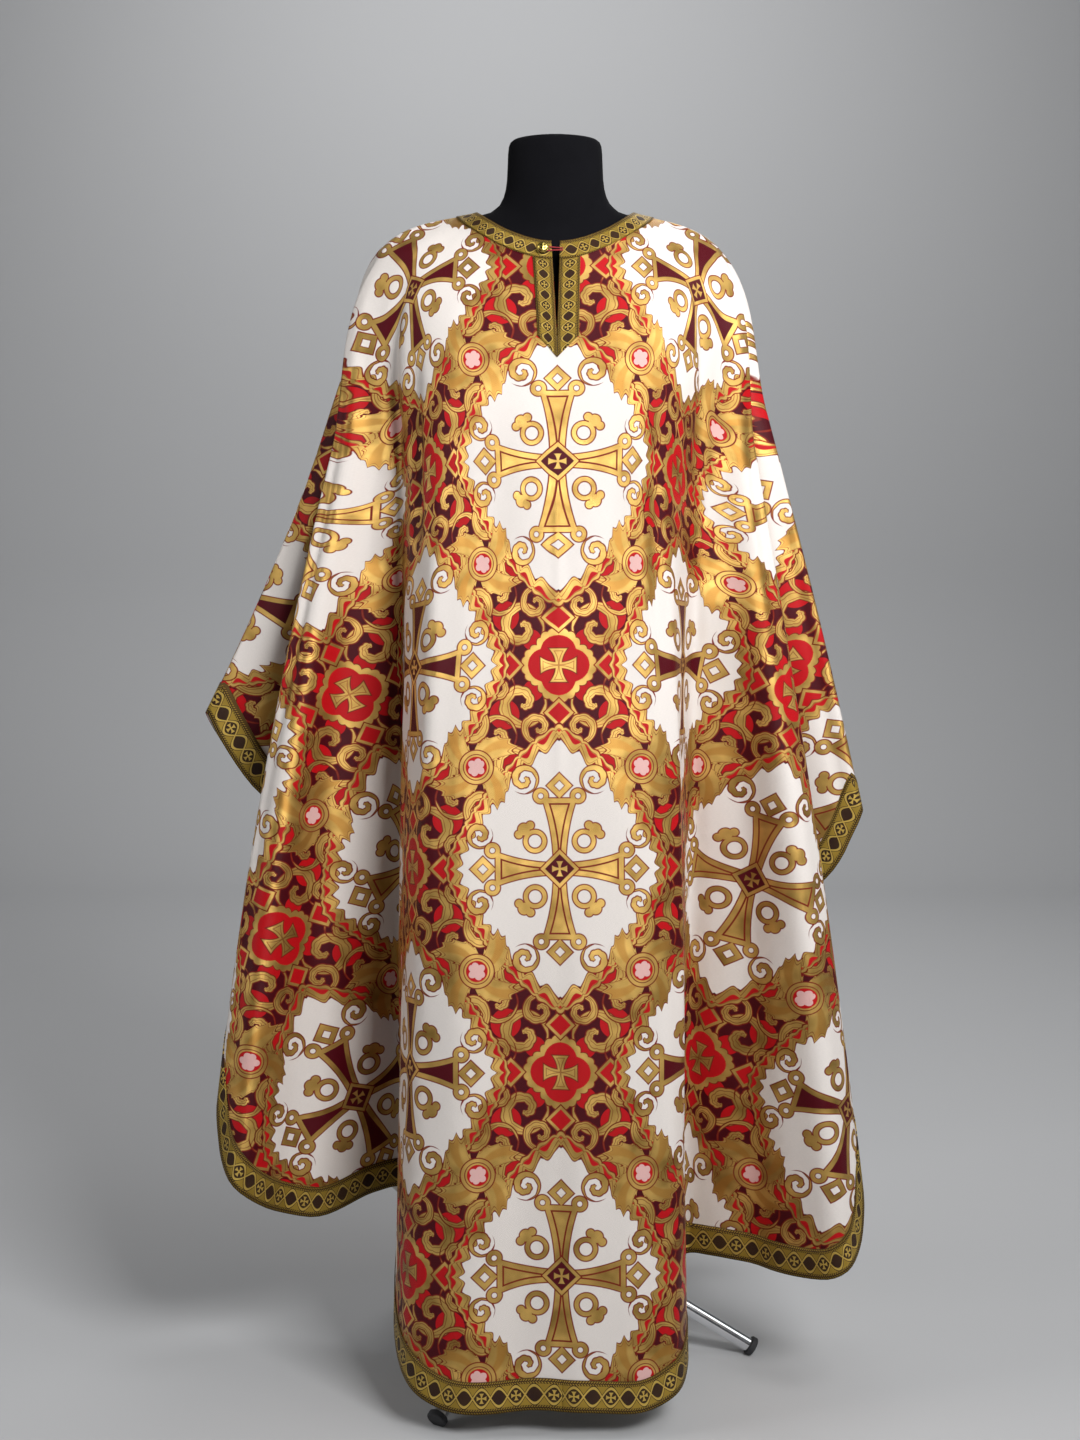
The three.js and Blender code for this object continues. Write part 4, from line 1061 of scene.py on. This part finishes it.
class PHELONION_OT_plackets(bpy.types.Operator):
    """Two galloon bands down the slit, mitred to a point below it"""

    bl_idname = "phelonion.plackets"
    bl_label = "Placket galloons"

    def execute(self, context):
        settings = context.scene.phelonion_cloth
        across = np.linspace(0.0, 1.0, BAND_COLUMNS)[None]
        down = np.linspace(0.0, 1.0, PLACKET_ROWS)[:, None]
        for name, side, centre, node in (
                ("placket_galloon_left", -1, 0.0, "placket_left"),
                ("placket_galloon_right", 1, float(LOOP_END), "placket_right")):
            rib = np.broadcast_to(centre - side * across, (PLACKET_ROWS, BAND_COLUMNS))
            start = neck_band_edge(rib, NECK_GALLOON_WIDTH + SEAT)
            end = PLACKET_TIP + (SLIT_FOOT - PLACKET_TIP) * across
            v = start + (end - start) * down
            points = cloth(rib, v, band_lift(settings), side)
            points[..., 0] += side * PLACKET_GAP * MM * (1.0 - across)
            along = running(measure(np.diff(points, axis=0))) / MM
            values = np.stack([along, across * PLACKET_GALLOON_WIDTH + 0 * along, 0 * along], -1)
            faces = facing_out(grid_faces(*rib.shape), rib)
            piece = make_mesh(name, points, faces, "galloon", values)
            finish_band(piece, settings, bpy.data.materials["neck_galloon"], node)
        return {"FINISHED"}


# ---- button and loop

BUTTON_ROWS, BUTTON_SIDES = 26, 96
BUTTON_RADIUS, BUTTON_INSET = 7.5, 0.2  # millimetres; the relief's top lies inside by the inset
RELIEF = 0.9        # depth of the piercings, millimetres
DOME_TURN = 0.86    # share of a half circle that the profile runs through


def node_frame(node):
    """A small node's points, centre and shortest direction, turned to the front, in metres."""
    points = points_of(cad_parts[node].data)
    centre = (points.min(0) + points.max(0)) / 2
    _, _, ways = np.linalg.svd(points - points.mean(0), full_matrices=False)
    out = ways[-1] if ways[-1][1] < 0 else -ways[-1]
    return points, centre, out


class PHELONION_OT_button(bpy.types.Operator):
    """Openwork gilt button: a dome with a pierced flower"""

    bl_idname = "phelonion.button"
    bl_label = "Button"

    def execute(self, context):
        points, centre, out = node_frame("button")
        right = unit(np.cross(np.array([0.0, 0.0, 1.0]), out) * -1.0)
        upright = np.cross(out, right)
        reach = (points - centre) @ out
        share = np.linspace(0.0, 1.0, BUTTON_ROWS)[:, None]
        turn = np.arange(BUTTON_SIDES)[None] * math.tau / BUTTON_SIDES
        # profile: from the pole of the dome, over its rim, to the stem at the back
        polar = share * math.pi * DOME_TURN
        petals = 0.5 + 0.5 * np.cos(turn * 4.0)
        ring, rim, hub = (np.exp(-((share - middle) / width) ** 2) for middle, width in (
            (0.30, 0.05), (0.56, 0.05), (0.0, 0.10)))
        arms = petals ** 3 * (share < 0.6)
        relief = np.clip(np.maximum(np.maximum(ring, rim), np.maximum(hub, arms)), 0.0, 1.0)
        depth = relief * RELIEF - RELIEF
        radius = (BUTTON_RADIUS - BUTTON_INSET + depth) * MM
        half = (reach.max() - reach.min()) / 2
        tall = np.cos(polar) * (half * 0.82 + depth * MM * 0.6) + half * 0.12
        x, y = radius * np.sin(polar) * np.cos(turn), radius * np.sin(polar) * np.sin(turn)
        middle = centre + out * (reach.max() + reach.min()) / 2
        shape = middle + x[..., None] * right + y[..., None] * upright
        shape = shape + np.broadcast_to(tall, x.shape)[..., None] * out
        faces = grid_faces(BUTTON_ROWS, BUTTON_SIDES, closed=True)
        relief = np.broadcast_to(relief, x.shape)
        values = np.stack([relief] * 3, axis=-1)
        piece = make_mesh("button_openwork", shape, faces, "relief", values)
        merge_poles(piece)
        finish_piece(piece, [
            gilt_material("cast_gilt", context.scene.phelonion_colours.gilt)], "button")
        return {"FINISHED"}


def merge_poles(piece):
    """Merges doubled points, closes what is open and turns every face outwards."""
    mesh = bmesh.new()
    mesh.from_mesh(piece.data)
    bmesh.ops.remove_doubles(mesh, verts=mesh.verts, dist=1e-6)
    bmesh.ops.holes_fill(mesh, edges=mesh.edges, sides=200)
    bmesh.ops.recalc_face_normals(mesh, faces=mesh.faces)
    mesh.to_mesh(piece.data)
    mesh.free()


class PHELONION_OT_loop(bpy.types.Operator):
    """Red cord loop round the button's stem"""

    bl_idname = "phelonion.loop"
    bl_label = "Button loop"

    def execute(self, context):
        piece = copied_node("button_loop", "loop_cord")
        x, y, z = points_of(piece.data).T
        store(piece.data, "twist", np.stack([x, z * 0.6, y * 0.0], axis=-1) / MM)
        finish_piece(piece, [
            cord_material("red_cord", context.scene.phelonion_colours.cord)], "button_loop")
        return {"FINISHED"}


def copied_node(node, name):
    """A merged copy of a CAD node, smooth and subdivided."""
    mesh = bmesh.new()
    mesh.from_mesh(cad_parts[node].data)
    bmesh.ops.remove_doubles(mesh, verts=mesh.verts, dist=1e-5)
    bmesh.ops.join_triangles(mesh, faces=mesh.faces, angle_face_threshold=0.7,
                             angle_shape_threshold=1.2)
    data = bpy.data.meshes.new(name)
    mesh.to_mesh(data)
    mesh.free()
    data.materials.clear()
    shade_smooth(data)
    piece = placed(name, data)
    finer = piece.modifiers.new("finer", "SUBSURF")
    finer.levels = finer.render_levels = 1
    return piece


# ---- dress form and stand

class PHELONION_OT_form(bpy.types.Operator):
    """Dress form in black jersey"""

    bl_idname = "phelonion.form"
    bl_label = "Dress form"

    def execute(self, context):
        piece = copied_node("form_body", "form_cover")
        finish_piece(piece, [
            jersey_material("black_jersey", context.scene.phelonion_colours.jersey)], "form_body")
        return {"FINISHED"}


class PHELONION_OT_stand(bpy.types.Operator):
    """Chrome pole, hub and legs with rubber feet"""

    bl_idname = "phelonion.stand"
    bl_label = "Stand"

    def execute(self, context):
        colours = context.scene.phelonion_colours
        chrome = chrome_material("polished_chrome", colours.chrome)
        rubber = rubber_material("black_rubber", colours.rubber)
        for name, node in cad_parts.items():
            finish = chrome if name.startswith(("stand_", "leg_")) else rubber
            if name.startswith(("stand_", "leg_", "foot_")):
                node.data.materials.clear()
                node.data.materials.append(finish)
        return {"FINISHED"}


# ---- studio

# Each lamp's place, aim, width and height in metres, the setting for its power, its share of that
# power and its beam in degrees.
Lamp = namedtuple("Lamp", "name place aim width height setting share beam")
LAMPS = [Lamp(*row) for row in (
    ("front_lamp", (1.2, -2.2, 2.4), (0.0, 0.0, 1.35), 1.1, 0.9, "front", 1.0, 110.0),
    ("right_lamp", (2.6, -0.5, 2.2), (0.0, 0.0, 1.0), 1.0, 1.8, "side", 0.5, 180.0),
    ("left_lamp", (-2.6, -0.7, 2.2), (0.0, 0.0, 0.9), 1.0, 1.8, "side", 1.2, 180.0),
    ("back_lamp", (0.6, 2.3, 3.3), (0.0, 0.0, 0.9), 1.4, 0.7, "back", 1.0, 180.0),
    ("wall_lamp", (-0.1, 2.4, 3.6), (0.2, 4.2, 1.9), 2.2, 0.6, "wall", 1.0, 180.0),
    ("floor_lamp", (1.3, -0.9, 3.4), (1.1, -0.2, 0.0), 1.2, 0.8, "floor", 1.0, 180.0),
)]
# The backdrop in metres: how far its front, start of the bend and wall lie from the pole, its
# bend, half width and height, and how far it lies below the feet.
PAPER_FRONT, PAPER_FLAT, PAPER_BACK = -6.0, -1.5, 4.5
PAPER_BEND, PAPER_SIDE, PAPER_TOP, PAPER_DROP = 1.0, 6.0, 5.0, 0.0003
CAMERA_X = -16.0  # millimetres; the camera stands a little left of the pole
SENSOR = 36.0     # long side, millimetres


def hang_lamp(lamp, power):
    """A soft rectangular lamp that points to its aim."""
    light = bpy.data.lights.new(lamp.name, "AREA")
    light.spread = math.radians(lamp.beam)
    light.shape = "RECTANGLE"
    light.size, light.size_y, light.energy = lamp.width, lamp.height, power
    piece = placed(lamp.name, light)
    x, y, z = np.array(lamp.aim, float) - np.array(lamp.place, float)
    piece.rotation_euler = (math.atan2(math.hypot(x, y), -z), 0.0, math.atan2(-x, y))
    piece.location = lamp.place


class PHELONION_OT_stage(bpy.types.Operator):
    """Seamless pale backdrop and floor, soft lamps and the camera"""

    bl_idname = "phelonion.stage"
    bl_label = "Studio"

    def execute(self, context):
        studio = context.scene.phelonion_studio
        # profile: floor, a quarter circle, then the wall
        turn = np.linspace(0.0, math.pi / 2, 17)
        y = np.concatenate([
            [PAPER_FRONT, PAPER_FLAT], PAPER_BACK - PAPER_BEND + PAPER_BEND * np.sin(turn),
            [PAPER_BACK]])
        z = np.concatenate([[0.0, 0.0], PAPER_BEND - PAPER_BEND * np.cos(turn), [PAPER_TOP]])
        grid_x, grid_y = np.meshgrid(np.linspace(-PAPER_SIDE, PAPER_SIDE, 9), y)
        grid_z = np.broadcast_to(z[:, None], grid_x.shape) - PAPER_DROP
        floor = make_mesh("backdrop", np.stack([grid_x, grid_y, grid_z], -1),
                          grid_faces(*grid_x.shape)[:, ::-1])
        recipe = Recipe("paper")
        grain = recipe.noise(recipe.place(), 260.0, 2.0)
        floor.data.materials.append(recipe.surface(
            Base_Color=colour(studio.paper), Roughness=0.86 + grain * 0.06,
            Specular_IOR_Level=0.25))

        for lamp in LAMPS:
            hang_lamp(lamp, getattr(studio, lamp.setting) * lamp.share)
        world = bpy.data.worlds.new("room")
        world.use_nodes = True
        background = world.node_tree.nodes["Background"]
        background.inputs[0].default_value = (0.96, 0.98, 1.0, 1.0)
        background.inputs[1].default_value = studio.sky
        context.scene.world = world

        lens = bpy.data.cameras.new("camera")
        lens.lens, lens.sensor_width, lens.sensor_fit = studio.lens, SENSOR, "AUTO"
        camera = placed("camera", lens)
        camera.location = (
            CAMERA_X * MM + POLE_AT[0], -studio.distance + POLE_AT[1], studio.height)
        camera.rotation_euler = (math.pi / 2 - studio.pitch, 0.0, 0.0)
        context.scene.camera = camera
        context.scene.view_settings.view_transform = "Standard"
        return {"FINISHED"}


# ---- the add-on

OPERATORS = [
    PHELONION_OT_front, PHELONION_OT_back, PHELONION_OT_neck_galloon, PHELONION_OT_plackets,
    PHELONION_OT_hem_galloon, PHELONION_OT_button, PHELONION_OT_loop, PHELONION_OT_form,
    PHELONION_OT_stand, PHELONION_OT_stage,
]
SETTINGS = {
    "phelonion_cloth": ClothSettings,
    "phelonion_colours": ColourSettings,
    "phelonion_studio": StudioSettings,
}


class PHELONION_PT_pieces(bpy.types.Panel):
    """Every piece of the vestment, its stand and its studio"""

    bl_idname = "PHELONION_PT_pieces"
    bl_label = "Phelonion"
    bl_space_type = "VIEW_3D"
    bl_region_type = "UI"
    bl_category = "Phelonion"

    def draw(self, context):
        for operator in OPERATORS:
            self.layout.operator(operator.bl_idname)
        for name, group in SETTINGS.items():
            box = self.layout.box()
            for field in group.__annotations__:
                box.prop(getattr(context.scene, name), field)


def register():
    for group in (*SETTINGS.values(), *OPERATORS, PHELONION_PT_pieces):
        bpy.utils.register_class(group)
    for name, group in SETTINGS.items():
        setattr(bpy.types.Scene, name, bpy.props.PointerProperty(type=group))


def unregister():
    for name in SETTINGS:
        delattr(bpy.types.Scene, name)
    for group in (PHELONION_PT_pieces, *OPERATORS[::-1], *list(SETTINGS.values())[::-1]):
        bpy.utils.unregister_class(group)


def main():
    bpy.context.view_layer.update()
    register()
    for operator in OPERATORS:
        group, name = operator.bl_idname.split(".")
        getattr(getattr(bpy.ops, group), name)()
    bpy.context.view_layer.update()


if __name__ == "__main__":
    main()
